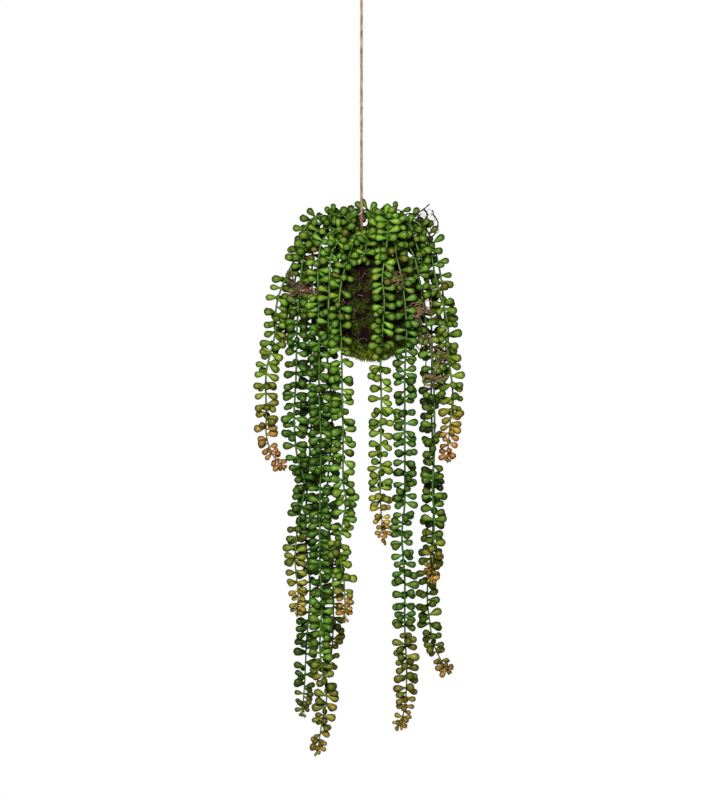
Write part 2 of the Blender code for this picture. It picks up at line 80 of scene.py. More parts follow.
def new_material(name, **settings):
    """A material, its node tree and its shader, with the values of the shader's inputs."""
    material = bpy.data.materials.new(name)
    material.use_nodes = True
    shader = material.node_tree.nodes["Principled BSDF"]
    for entry, value in settings.items():
        shader.inputs[entry.replace("_", " ")].default_value = value
    return material, material.node_tree, shader


def mesh_from(bm, name):
    """A new mesh that holds what the bmesh held."""
    mesh = bpy.data.meshes.new(name)
    bm.to_mesh(mesh)
    bm.free()
    return mesh


def put(mesh, material, smooth_faces=True):
    """A new object that shows the mesh in its material, under the mesh's name."""
    mesh.materials.append(material)
    obj = bpy.data.objects.new(mesh.name, mesh)
    bpy.context.scene.collection.objects.link(obj)
    for polygon in mesh.polygons:
        polygon.use_smooth = smooth_faces
    return obj


camera_data = bpy.data.cameras.new("camera")
camera_data.sensor_width = SENSOR
camera_data.lens = SENSOR * CAMERA_AWAY / SEEN_HEIGHT
camera = bpy.data.objects.new("camera", camera_data)
camera.location = SEEN_MIDDLE + Vector((0, -CAMERA_AWAY, 0))
camera.rotation_euler = (math.pi / 2, 0, 0)
bpy.context.scene.collection.objects.link(camera)
bpy.context.scene.camera = camera
bpy.context.scene.view_settings.view_transform = "Standard"

for label, (away, wide, power) in LIGHTS.items():
    light_data = bpy.data.lights.new(label, "AREA")
    light_data.size = wide
    light_data.energy = power
    light = bpy.data.objects.new(label, light_data)
    light.visible_camera = False
    light.location = SEEN_MIDDLE + Vector(away)
    light.rotation_euler = (-Vector(away)).to_track_quat("-Z", "Y").to_euler()
    bpy.context.scene.collection.objects.link(light)

world = bpy.data.worlds.new("studio")
world.use_nodes = True
bpy.context.scene.world = world
surround = world.node_tree.nodes["Background"]
surround.inputs["Color"].default_value = (1, 1, 1, 1)
seen = add_node(world.node_tree, "ShaderNodeLightPath")
bright = add_node(world.node_tree, "ShaderNodeMapRange", To_Min=SURROUND_LIGHT, To_Max=1.0)
join(world.node_tree, (seen, "Is Camera Ray", bright, "Value"), (bright, "Result", surround, "Strength"))

bm = bmesh.new()
bmesh.ops.create_circle(bm, cap_ends=True, segments=64, radius=FLOOR_RADIUS)
bmesh.ops.translate(bm, verts=bm.verts, vec=(0, 0, FLOOR_LEVEL))
floor_paint, _, _ = new_material("floor_paint", Base_Color=FLOOR_PALE, Roughness=0.9)
floor = put(mesh_from(bm, "floor"), floor_paint, smooth_faces=False)

# The twine that the plant hangs on is jute: three loose strands laid round each other, held straight
# and taut by the plant's weight. It runs up from the knot at its foot into the loop's knot.
TWINE_RADIUS = 1.6
TWINE_FOOT = -278.6
TWINE_TOP = -40.6
STRAND_RADIUS = 0.86
STRAND_OUT = 0.74
STRAND_COUNT = 3
EDGE_POINTS = 24
LAY_LENGTH = 8.5
TURN_STEPS = 18

# The loose hairs of the twine: how many, how thick and long, how deep their roots are as a share of
# the twine's radius, how far from its ends they stay, and how they bend away
TWINE_HAIRS = 300
HAIR_RADIUS = 0.045
HAIR_LONG = (0.5, 1.5)
HAIR_DEPTH = 0.8
HAIR_ENDS = 2
HAIR_BEND = 0.4
HAIR_RISE = (0.5, 2.2)
HAIR_POINTS = (0.0, 0.4, 0.75, 1.0)
HAIR_SEED = 3


def on_surface(tree, *textures):
    """Lays textures out in the piece's own coordinates."""
    place = add_node(tree, "ShaderNodeTexCoord")
    join(tree, *((place, "Object", texture, "Vector") for texture in textures))


def add_relief(tree, shader, node, output, **settings):
    """Small relief on the piece's surface, from one output of a node."""
    relief = add_node(tree, "ShaderNodeBump", **settings)
    join(tree, (node, output, relief, "Height"), (relief, "Normal", shader, "Normal"))


# What jute, coir and dry roots share: fine streaks along the piece and broad patches of wear
fibre_group = bpy.data.node_groups.new("fibre_streaks", "ShaderNodeTree")
for label, way_in, kind in (("Scale", "INPUT", "Float"), ("Stretch", "INPUT", "Vector"),
                            ("Streaks", "OUTPUT", "Float"), ("Patches", "OUTPUT", "Float")):
    fibre_group.interface.new_socket(label, in_out=way_in, socket_type="NodeSocket" + kind)
group_in = add_node(fibre_group, "NodeGroupInput")
group_out = add_node(fibre_group, "NodeGroupOutput")
stretch = add_node(fibre_group, "ShaderNodeVectorMath", operation="MULTIPLY")
fine = add_node(fibre_group, "ShaderNodeTexNoise", Detail=4.0, Roughness=0.65, Distortion=0.4)
broad = add_node(fibre_group, "ShaderNodeTexNoise", Scale=90.0, Detail=3.0, Roughness=0.5)
on_surface(fibre_group, stretch, broad)
join(
    fibre_group,
    (group_in, "Stretch", stretch, 1),
    (stretch, "Vector", fine, "Vector"),
    (group_in, "Scale", fine, "Scale"),
    (fine, "Fac", group_out, "Streaks"),
    (broad, "Fac", group_out, "Patches"),
)


def screen_colour(red, green, blue):
    """A shader's colour from its 0 to 255 screen values."""
    return tuple((v / 255) ** 2.2 for v in (red, green, blue)) + (1.0,)


def add_ramp(tree, *stops):
    """A colour ramp, from its places and their screen colours."""
    ramp = add_node(tree, "ShaderNodeValToRGB")
    elements = ramp.color_ramp.elements
    if len(stops) > 2:
        elements.new(stops[1][0])
    for element, (at, colour) in zip(elements, stops):
        element.position = at
        element.color = screen_colour(*colour)
    return ramp


def fibrous(name, dark, light, scale, stretch, roughness, height):
    """A material of fine fibres between two colours, with their relief."""
    material, tree, shader = new_material(name, Roughness=roughness)
    fibres = add_node(tree, "ShaderNodeGroup", node_tree=fibre_group)
    fibres.inputs["Scale"].default_value = scale
    fibres.inputs["Stretch"].default_value = stretch
    ramp = add_ramp(tree, (0.32, dark), (0.66, light))
    worn = add_node(tree, "ShaderNodeMapRange", From_Min=0.35, From_Max=0.7, To_Min=-0.14, To_Max=0.16)
    tone = add_node(tree, "ShaderNodeMath", operation="ADD")
    add_relief(tree, shader, fibres, "Streaks", Strength=0.8, Distance=height)
    join(
        tree,
        (fibres, "Patches", worn, "Value"),
        (fibres, "Streaks", tone, 0),
        (worn, "Result", tone, 1),
        (tone, "Value", ramp, "Fac"),
        (ramp, "Color", shader, "Base Color"),
    )
    return material


def bars(name, lines, radius, sides, thickness=None, closed=False):
    """Round bars along lines of points, in millimetres from the loop's top, as one capped mesh."""
    curve = bpy.data.curves.new(name, "CURVE")
    curve.dimensions = "3D"
    curve.bevel_depth = radius * MM
    curve.bevel_resolution = (sides - 4) // 2
    curve.use_fill_caps = not closed
    for number, line in enumerate(lines):
        spline = curve.splines.new("POLY")
        spline.points.add(len(line) - 1)
        spline.use_cyclic_u = closed
        for i, point in enumerate(line):
            spline.points[i].co = (*(point * MM), 1)
            spline.points[i].radius = thickness[number][i] if thickness else 1.0
    wire = bpy.data.objects.new(name, curve)
    bpy.context.scene.collection.objects.link(wire)
    mesh = bpy.data.meshes.new_from_object(wire.evaluated_get(bpy.context.evaluated_depsgraph_get()))
    bpy.data.objects.remove(wire)
    mesh.name = name
    bm = bmesh.new()
    bm.from_mesh(mesh)
    bmesh.ops.remove_doubles(bm, verts=bm.verts, dist=0.001 * MM)
    bmesh.ops.recalc_face_normals(bm, faces=bm.faces)
    bm.to_mesh(mesh)
    bm.free()
    return mesh


def strand_edge(angle):
    """How far the outer edge of the three strands is from the twine's middle at one angle."""
    part = math.tau / STRAND_COUNT
    off = (angle + part / 2) % part - part / 2
    side = STRAND_OUT * math.sin(off)
    return STRAND_OUT * math.cos(off) + math.sqrt(STRAND_RADIUS ** 2 - side * side)


bm = bmesh.new()
bmesh.ops.create_circle(bm, cap_ends=False, segments=EDGE_POINTS, radius=MM)
for vert in bm.verts:
    vert.co *= strand_edge(math.atan2(vert.co.y, vert.co.x))
bmesh.ops.translate(bm, verts=bm.verts, vec=(0, 0, TWINE_FOOT * MM))
turns = (TWINE_TOP - TWINE_FOOT) / LAY_LENGTH
steps = round(turns * TURN_STEPS)
bmesh.ops.spin(
    bm, geom=bm.verts[:] + bm.edges[:], cent=(0, 0, 0), axis=(0, 0, 1),
    dvec=(0, 0, (TWINE_TOP - TWINE_FOOT) * MM / steps), angle=math.tau * turns, steps=steps,
)
bmesh.ops.holes_fill(bm, edges=[e for e in bm.edges if e.is_boundary])
bmesh.ops.recalc_face_normals(bm, faces=bm.faces)
jute = fibrous("jute_fibre", (88, 62, 42), (156, 130, 102), scale=700.0, stretch=(1.0, 1.0, 0.16),
               roughness=0.9, height=0.0003)
twine = put(mesh_from(bm, "jute_twine"), jute)

rng = random.Random(HAIR_SEED)
hairs = []
for _ in range(TWINE_HAIRS):
    turn, high = rng.uniform(0, math.tau), rng.uniform(TWINE_FOOT + HAIR_ENDS, TWINE_TOP - HAIR_ENDS)
    out = Vector((math.cos(turn), math.sin(turn), 0))
    root = out * TWINE_RADIUS * HAIR_DEPTH + Vector((0, 0, high))
    rise = Vector((rng.uniform(-HAIR_BEND, HAIR_BEND), rng.uniform(-HAIR_BEND, HAIR_BEND),
                   rng.choice((-1, 1)) * rng.uniform(*HAIR_RISE)))
    long = rng.uniform(*HAIR_LONG)
    hairs.append([root + (out * t + rise * t * t) * long for t in HAIR_POINTS])
twine_hairs = put(bars("twine_hairs", hairs, HAIR_RADIUS, sides=4), jute)
for piece in (twine, twine_hairs):
    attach(piece, "root")
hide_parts("hanging_twine")

# The loop that goes over the hook is the twine's own end, turned back and whipped round itself in
# a knot of four turns. It is above the photo's edge.
LOOP_HALF_WIDTH = 9.0
LOOP_HALF_HEIGHT = 17.0
TOP_KNOT_RADIUS = 4.2
TOP_KNOT_LENGTH = 9.5
TOP_KNOT_CORD = 1.35
KNOT_TURNS = 4
KNOT_TURN_STEPS = 20
KNOT_TUCK = 0.35


def oval(half_width, half_height, middle, across, count):
    """Points round an upright oval, in the plane of Z and the across direction."""
    turns = [math.tau * k / count for k in range(count)]
    return [middle + across * half_width * math.sin(a) + Vector((0, 0, half_height * math.cos(a)))
            for a in turns]


def whipping(low, high, radius, thick):
    """Points of a cord wound round the twine, from low to high, whose ends tuck into the middle."""
    line = []
    total = KNOT_TURNS * KNOT_TURN_STEPS
    for k in range(total + 1):
        share = k / total
        tuck = min(1.0, min(share, 1 - share) * total / (KNOT_TURN_STEPS * KNOT_TUCK))
        out = (radius - thick) * (KNOT_TUCK + (1 - KNOT_TUCK) * tuck)
        angle = math.tau * k / KNOT_TURN_STEPS
        high_here = low + thick + (high - low - 2 * thick) * share
        line.append(Vector((out * math.cos(angle), out * math.sin(angle), high_here)))
    return line


def tied(name, ring, ring_radius, turns, cord_radius, material):
    """A ring of cord and the knot that ties it, as one piece."""
    bm = bmesh.new()
    bm.from_mesh(bars(name + "_ring", [ring], ring_radius, sides=12, closed=True))
    bm.from_mesh(bars(name + "_turns", [turns], cord_radius, sides=10))
    return put(mesh_from(bm, name), material)


loop_middle = Vector((0, 0, TWINE_RADIUS - LOOP_HALF_HEIGHT))
loop_line = oval(LOOP_HALF_WIDTH, LOOP_HALF_HEIGHT, loop_middle, Vector((1, 0, 0)), count=72)
top_knot_top = 2 * TWINE_RADIUS - 2 * LOOP_HALF_HEIGHT
top_turns = whipping(top_knot_top - TOP_KNOT_LENGTH, top_knot_top, TOP_KNOT_RADIUS, TOP_KNOT_CORD)
loop = tied("jute_loop", loop_line, TWINE_RADIUS, top_turns, TOP_KNOT_CORD, jute)
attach(loop, "root")
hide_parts("hanging_loop")

# At its foot the twine is threaded through the wire eye and whipped round itself in four turns.
# The jute is darker and redder here.
LINK_RADIUS = 1.5
LINK_HALF_WIDTH = 3.6
LINK_HALF_HEIGHT = 5.2
LINK_MIDDLE = -292.6
FOOT_KNOT_RADIUS = 2.8
FOOT_KNOT_LOW = -288.9
FOOT_KNOT_HIGH = -278.9
FOOT_KNOT_CORD = 1.2
link_middle = Vector((0, 0, LINK_MIDDLE))
link_line = oval(LINK_HALF_WIDTH, LINK_HALF_HEIGHT, link_middle, Vector((0, 1, 0)), count=40)
foot_turns = whipping(FOOT_KNOT_LOW, FOOT_KNOT_HIGH, FOOT_KNOT_RADIUS, FOOT_KNOT_CORD)
dark_jute = fibrous("dark_jute", (60, 36, 26), (132, 92, 66), scale=700.0, stretch=(1.0, 1.0, 0.3),
                    roughness=0.9, height=0.0003)
foot = tied("jute_foot_knot", link_line, LINK_RADIUS, foot_turns, FOOT_KNOT_CORD, dark_jute)
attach(foot, "root")
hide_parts("foot_knot")

# The eye that holds the twine is one iron wire, bent by hand and pushed deep into the ball, where the
# soil and the roots grip it. Its skin is rusty from the damp.
rust, tree, shader = new_material("rusty_iron")
spots = add_node(tree, "ShaderNodeTexNoise", Scale=900.0, Detail=5.0, Roughness=0.6)
ramp = add_ramp(tree, (0.4, (52, 38, 34)), (0.65, (122, 68, 44)))
dull = add_node(tree, "ShaderNodeMapRange", To_Min=0.45, To_Max=0.9)
bare = add_node(tree, "ShaderNodeMapRange", From_Min=0.6, From_Max=0.4, To_Max=0.8)
on_surface(tree, spots)
add_relief(tree, shader, spots, "Fac", Strength=0.5, Distance=0.0002)
join(
    tree,
    (spots, "Fac", ramp, "Fac"),
    (spots, "Fac", dull, "Value"),
    (spots, "Fac", bare, "Value"),
    (ramp, "Color", shader, "Base Color"),
    (dull, "Result", shader, "Roughness"),
    (bare, "Result", shader, "Metallic"),
)
for material_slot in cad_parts["hanger_wire"].material_slots:
    material_slot.material = rust

# The ball is soil and coir packed by hand round the roots, a little lumpy, with moss that grows on
# it in cushions and hangs as a yellow-green hem under it. The lumps are those of the solid.
BALL_MIDDLE = Vector((0.0114, 0.0, -0.378))
BALL_AT = BALL_MIDDLE / MM
BALL_RADIUS = 56.5
BALL_HALF_HEIGHT = 58.0
BALL_LUMP = 1.6
BALL_LUMP_SPAN = 21.0
CLOD_HEIGHT = 1.0
CLOD_SPAN = 6.5
CLOD_PLACE = Vector((9, 4, 2))
CRUMB_HEIGHT = 0.5
CRUMB_SPAN = 2.2

# The moss: how far apart its cushions and their tufts are, where they lie, how much of the ball they
# cover, and where the hem starts and how deep it is
CUSHION_SPAN = 13.0
CUSHION_PLACE = Vector((3.1, 0.4, 7.7))
MOSS_TUFT_SPAN = 4.5
MOSS_TUFT = 0.7
MOSS_CONTRAST = 1.1
MOSS_COVER = 0.34
HEM_TOP = -36.0
HEM_DEPTH = 16.0


def ball_radius_at(way):
    """How far the lumpy surface of the ball is from its middle in one direction."""
    flat = 1 / math.hypot(math.hypot(way.x, way.y) / BALL_RADIUS, way.z / BALL_HALF_HEIGHT)
    return flat + BALL_LUMP * noise.noise(way * flat / BALL_LUMP_SPAN)


def ball_skin_at(way):
    """The same, with the clods and crumbs that show in the finished surface."""
    radius = ball_radius_at(way)
    point = way * radius
    clods = CLOD_HEIGHT * noise.noise(point / CLOD_SPAN + CLOD_PLACE)
    return radius + clods + CRUMB_HEIGHT * noise.noise(point / CRUMB_SPAN)


def mossy(point):
    """How mossy the ball is at a point, from 0 to 1: small patches, and its whole bottom."""
    patch = noise.noise(point / CUSHION_SPAN + CUSHION_PLACE)
    patch += MOSS_TUFT * noise.noise(point / MOSS_TUFT_SPAN)
    low = max(0.0, (HEM_TOP - point.z) / HEM_DEPTH)
    return min(1.0, max(0.0, patch * MOSS_CONTRAST + MOSS_COVER + low))


bm = bmesh.new()
bmesh.ops.create_icosphere(bm, subdivisions=7, radius=1)
moss_layer = bm.verts.layers.float.new("mossy")
for vert in bm.verts:
    way = vert.co.normalized()
    vert.co = BALL_MIDDLE + way * ball_skin_at(way) * MM
    vert[moss_layer] = mossy((vert.co - BALL_MIDDLE) / MM)

soil, tree, shader = new_material("soil_and_moss", Roughness=0.95, Specular_IOR_Level=0.1)
moss_share = add_node(tree, "ShaderNodeAttribute", attribute_name="mossy")
crumbs = add_node(tree, "ShaderNodeTexNoise", Scale=420.0, Detail=6.0, Roughness=0.7)
damp_patches_and_moss_shade = add_node(tree, "ShaderNodeTexNoise", Scale=190.0, Detail=4.0, Roughness=0.6)
grains = add_node(tree, "ShaderNodeTexVoronoi", Scale=520.0)
earth = add_ramp(tree, (0.38, (6, 2, 4)), (0.56, (27, 13, 14)), (0.74, (66, 43, 28)))
growth = add_ramp(tree, (0.38, (10, 14, 2)), (0.74, (54, 65, 10)))
edge = add_node(tree, "ShaderNodeMath", operation="ADD")
edge_mask = add_node(tree, "ShaderNodeMapRange", From_Min=0.68, From_Max=1.05)
skin = add_node(tree, "ShaderNodeMix", data_type="RGBA")
height = add_node(tree, "ShaderNodeMath", operation="ADD")
on_surface(tree, crumbs, damp_patches_and_moss_shade, grains)
add_relief(tree, shader, height, "Value", Strength=0.9, Distance=0.0009)
join(
    tree,
    (crumbs, "Fac", earth, "Fac"),
    (crumbs, "Fac", growth, "Fac"),
    (moss_share, "Fac", edge, 0),
    (damp_patches_and_moss_shade, "Fac", edge, 1),
    (edge, "Value", edge_mask, "Value"),
    (edge_mask, "Result", skin, "Factor"),
    (earth, "Color", skin, "A"),
    (growth, "Color", skin, "B"),
    (skin, "Result", shader, "Base Color"),
    (crumbs, "Fac", height, 0),
    (grains, "Distance", height, 1),
)
ball = put(mesh_from(bm, "soil_ball"), soil)
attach(ball, "root")
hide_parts("moss_ball")

# The dry roots that stick out of the ball are old wood, thin and crooked, with fine side roots that
# curl. A route is the trunk first, then its branches, in millimetres from the ball's middle.
STEM_STEP = 1.5
ROOT_DEPTH = 12.0
SPRIG_RADIUS = 0.85
SPRIG_TIP = 0.6
SPRIGS = {
    "sprig_top_right": [
        [(12, 11, 59), (17, 9, 77), (27, 5, 87), (35, 3, 97), (41, 3, 99), (48, 4, 99),
         (56, 5, 104), (63, 6, 110)],
        [(56, 5, 104), (60, 4, 97), (55, 1, 90)],
        [(48, 4, 99), (51, 3, 96), (53, 3, 90)],
        [(27, 5, 87), (41, 3, 83), (52, 2, 78), (63, 1, 73), (70, 0, 81), (71, 0, 90), (67, 0, 97),
         (65, 0, 104)],
    ],
    "sprig_left": [
        [(-50, -22, 12), (-59, -18, 14), (-70, -19, 14), (-78, -21, 14), (-85, -17, 10),
         (-92, -15, 12)],
        [(-78, -21, 14), (-84, -21, 24), (-88, -19, 38)],
        [(-59, -18, 14), (-66, -20, 6), (-62, -21, -2)],
        [(-70, -19, 14), (-74, -23, 20), (-68, -24, 24)],
    ],
    "sprig_front": [
        [(28, -44, 24), (24, -51, 28), (19, -53, 32), (22, -52, 38)],
        [(24, -51, 28), (22, -53, 20), (26, -54, 15)],
    ],
    "sprig_right": [
        [(41, -40, -1), (44, -46, -2), (50, -45, -5), (57, -43, -4), (63, -40, -2), (63, -38, 3),
         (56, -40, 5)],
        [(50, -45, -5), (49, -46, -14), (47, -45, -27)],
        [(57, -43, -4), (64, -40, -14), (70, -36, -13)],
    ],
    "sprig_low_right": [
        [(46, -12, -31), (53, -14, -36), (57, -14, -42), (65, -12, -54), (66, -10, -68),
         (73, -8, -81), (79, -6, -90)],
        [(57, -14, -42), (66, -13, -39), (71, -9, -44)],
        [(65, -12, -54), (58, -10, -62), (61, -8, -72)],
        [(53, -14, -36), (48, -18, -43), (43, -20, -43)],
    ],
    "sprig_back": [
        [(-14, 51, 20), (-12, 59, 23), (-3, 61, 20), (2, 59, 12), (-2, 58, 4)],
        [(-3, 61, 20), (0, 63, 28), (-5, 64, 34)],
    ],
}

# How far the wood strays and how uneven it is, which sprig is stouter, and the short side roots: the
# points of the route that they start from, how long, crooked and thick they are, and how high they
# may reach
SPRIG_STRAY = 0.22
SPRIG_UNEVEN = (0.82, 1.12)
STOUT = {"sprig_top_right": 1.35}
SIDE_ROOTS_FROM = 6
SIDE_ROOTS_APART = 5
SIDE_ROOT_LONG = (5, 13)
SIDE_ROOT_BEND = 0.55
SIDE_ROOT_THICK = 0.42
SIDE_ROOT_TAPER = 0.24
SIDE_ROOT_LEAST = 3
SIDE_ROOT_SUNK = -1
SIDE_ROOT_BACK = 0.3
SIDE_ROOT_TOP = 102.0

# Where the side roots of each dry one curl into a tangle: the tangle's middle and half sizes, how
# many roots there are in it, and how thin and thick they are, in millimetres
TANGLES = {
    "sprig_top_right": [((56, 3, 92), (12, 5, 14), 7, 0.35, 0.5)],
    "sprig_left": [
        ((-62, -34, 14), (30, 6, 6), 18, 0.3, 0.55), ((-86, -24, 27), (5, 4, 10), 4, 0.4, 0.6),
    ],
    "sprig_front": [((26, -62, 28), (12, 4, 9), 15, 0.3, 0.55)],
    "sprig_right": [
        ((50, -48, -6), (14, 5, 7), 14, 0.35, 0.8), ((50, -47, -22), (4, 3, 8), 4, 0.4, 0.6),
    ],
    "sprig_low_right": [
        ((60, -34, -40), (10, 5, 12), 10, 0.4, 0.7), ((74, -28, -60), (8, 5, 13), 8, 0.4, 0.9),
        ((66, -33, -84), (12, 4, 6), 1, 0.35, 0.6),
    ],
    "sprig_back": [((-2, 65, 20), (10, 5, 16), 14, 0.35, 0.6)],
}
CURL_NEAR = 3
CURL_SWING = 2.6
CURL_STRAY = 0.5
CURL_STARTS = 8
CURL_AIMS = 3
CURL_CLEAR = 0.5
CURL_TAPER = 0.55

# The gnarled wood low on the right: the route of each of its arms and how thick the arm is at its
# two ends
GNARLS = {
    "sprig_low_right": [
        (((57, -14, -42), (63, -22, -49), (68, -30, -57), (71, -33, -63), (68, -34, -70),
          (67, -34, -77)), 0.8, 1.5),
        (((67, -34, -77), (60, -34, -76), (55, -33, -80), (56, -33, -85), (61, -34, -87),
          (66, -35, -84), (71, -35, -80), (77, -34, -80), (82, -33, -76)), 1.9, 0.8),
        (((62, -34, -77), (66, -36, -80), (71, -37, -78), (76, -36, -77)), 1.2, 1.5),
        (((70, -35, -81), (75, -35, -84), (79, -34, -89)), 1.0, 0.4),
        (((57, -34, -86), (56, -35, -90), (59, -35, -93)), 0.7, 0.3),
    ],
}
GNARL_STRAY = 0.4
GNARL_UNEVEN = (0.7, 1.25)


def smooth(route, per_span=14):
    """Points on a smooth curve through the route's points, STEM_STEP apart."""
    route = [Vector(p) for p in route]
    ends = [route[0] * 2 - route[1]] + route + [route[-1] * 2 - route[-2]]
    line = []
    for a, b, c, d in zip(ends, ends[1:], ends[2:], ends[3:]):
        for k in range(per_span):
            t = k / per_span
            line.append(0.5 * (2 * b + (c - a) * t + (2 * a - 5 * b + 4 * c - d) * t * t
                               + (3 * b - a - 3 * c + d) * t ** 3))
    line.append(route[-1])
    even, left = [line[0]], STEM_STEP
    for a, b in zip(line, line[1:]):
        span = (b - a).length
        while span >= left:
            a = a.lerp(b, left / span)
            even.append(a)
            span = (b - a).length
            left = STEM_STEP
        left -= span
    return even


def above_ball(point):
    """Roughly how far a point is outside the ball."""
    share = math.hypot(point.x, point.y) / BALL_RADIUS, point.z / BALL_HALF_HEIGHT
    return (math.hypot(*share) - 1) * BALL_RADIUS


def rooted(route):
    """The route with its buried end first, straight in from where it leaves the ball."""
    first = Vector(route[0])
    way = (Vector(route[1]) - first).normalized()
    return [first - way * (ROOT_DEPTH + max(0.0, above_ball(first)))] + list(route)


def jitter(rng, reach):
    """A small step with each of its three shares drawn by chance."""
    return Vector([rng.uniform(-reach, reach) for _ in range(3)])


def wandering(start, way, long, bend, rng, step=1.2):
    """A crooked line that goes from the start in roughly one way."""
    line, way = [Vector(start)], Vector(way).normalized()
    for _ in range(max(2, round(long / step))):
        way = (way + jitter(rng, bend)).normalized()
        line.append(line[-1] + way * step)
    return line


def curling(start, targets, rng, step=1.1, most=24):
    """A root that swings from the start towards each target in turn, and past it."""
    line = [Vector(start)]
    way = jitter(rng, 1).normalized()
    for target in targets:
        for _ in range(most):
            pull = target - line[-1]
            if pull.length < CURL_NEAR:
                break
            way = (way * CURL_SWING + pull.normalized() + jitter(rng, CURL_STRAY)).normalized()
            line.append(line[-1] + way * step)
    return line


def side_root(start, rng):
    """A short crooked root that leaves the wood, as far as it is outside the ball."""
    way = (rng.uniform(-1, 1), rng.uniform(-1, SIDE_ROOT_BACK), rng.uniform(-1, 1))
    line = wandering(start, way, rng.uniform(*SIDE_ROOT_LONG), SIDE_ROOT_BEND, rng)
    return [point for point in line if above_ball(point) > SIDE_ROOT_SUNK and point.z < SIDE_ROOT_TOP]


def curled_roots(tangle, wood, rng):
    """The curled roots of one tangle, each with its thickness along its length."""
    middle, half, count, thin, thickest = tangle
    for _ in range(count):
        targets = [Vector([m + h * rng.uniform(-1, 1) for m, h in zip(middle, half)])
                   for _ in range(CURL_AIMS)]
        near = sorted(wood, key=lambda point: (point - targets[0]).length)[:CURL_STARTS]
        curl = curling(rng.choice(near), targets, rng)
        curl = [point for point in curl if above_ball(point) > CURL_CLEAR]
        size = rng.uniform(thin, thickest) / SPRIG_RADIUS
        yield curl, [size * (1 - CURL_TAPER * k / len(curl)) for k in range(len(curl))]


ROOT_GRAIN = {"scale": 520.0, "stretch": (1.0, 1.0, 0.5), "roughness": 0.85, "height": 0.0004}
dry_root = fibrous("dry_root", (33, 22, 12), (128, 106, 66), **ROOT_GRAIN)
dark_root = fibrous("dark_root", (14, 7, 6), (70, 42, 33), **ROOT_GRAIN)
russet_root = fibrous("russet_root", (26, 13, 9), (122, 78, 56), **ROOT_GRAIN)
ROOT_WOOD = {"sprig_top_right": dark_root, "sprig_left": russet_root, "sprig_back": russet_root}
sprig_lines = {
    name: [smooth(rooted(branches[0]))] + [smooth(branch) for branch in branches[1:]]
    for name, branches in SPRIGS.items()
}
for name, branches in sprig_lines.items():
    rng = random.Random(name)
    lines, thick = [], []
    for line in branches:
        last = len(line) - 1
        lines.append([BALL_AT + point + jitter(rng, SPRIG_STRAY) for point in line])
        thick.append([(1 - (1 - SPRIG_TIP) * i / last) * rng.uniform(*SPRIG_UNEVEN) * STOUT.get(name, 1)
                      for i in range(last + 1)])
        for i in range(SIDE_ROOTS_FROM, last, SIDE_ROOTS_APART):
            side = side_root(line[i], rng)
            if len(side) > SIDE_ROOT_LEAST:
                lines.append([BALL_AT + point for point in side])
                thick.append([SIDE_ROOT_THICK - SIDE_ROOT_TAPER * k / (len(side) - 1)
                              for k in range(len(side))])
    bm = bmesh.new()
    bm.from_mesh(bars("wood", lines, SPRIG_RADIUS, sides=8, thickness=thick))
    lines, thick = [], []
    wood = [point for line in branches for point in line if above_ball(point) > 0]
    for tangle in TANGLES[name]:
        for curl, sizes in curled_roots(tangle, wood, rng):
            lines.append([BALL_AT + point for point in curl])
            thick.append(sizes)
    for route, first, final in GNARLS.get(name, ()):
        line = smooth(route)
        last = len(line) - 1
        lines.append([BALL_AT + point + jitter(rng, GNARL_STRAY) for point in line])
        thick.append([(first + (final - first) * i / last) * rng.uniform(*GNARL_UNEVEN) / SPRIG_RADIUS
                      for i in range(last + 1)])
    bm.from_mesh(bars("curls", lines, SPRIG_RADIUS, sides=6, thickness=thick))
    sprig = put(mesh_from(bm, "dry_" + name), ROOT_WOOD.get(name, dry_root))
    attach(sprig, "root")
    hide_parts(name)

# The leafy stems are soft green runners that rise from the top of the ball, arch over its edge and
# hang. Their leaves are fleshy clubs on short necks, in groups on the stem's two sides, smaller and
# more coloured towards the tip. A route runs from where a stem leaves the ball to its tip.
BALL_CLEAR = 3.0
STEM_RADIUS = 1.1
STEM_TIP = 0.62
TAPER_FROM = 0.75
LEAF_LENGTH = 13.5
LEAF_HALF_WIDTH = 3.9
LEAF_ROOM = 0.4
LEAF_SPREAD = (0.93, 1.07)
YOUNG_STRETCH = 42.0
YOUNG_SIZE = 0.45
YOUNG_APART = 0.45
LEAF_APART = (19.2, 23.2)
FIRST_LEAF = (5.0, 11.0)
LEAF_TURN = 2.4
STEM_TWIST = 25.0
SIDE_SPREAD = 28.0
WIDER_TRY = 0.25
LEAF_LEAN = (-16.0, 30.0)
LEAF_TRIES = 16
OWN_STEM = 6.0
TUFT_LEAN = (42.0, 50.0, 58.0)
TUFT_BACK = (2.0, 3.5, 5.0)
BARE_TIP = 4.0
CROWN_YOUNG = 0.85
HANGING_SHORT = ("stem_short_left", "stem_short_right")
SEED = 7
CELL = 9.0
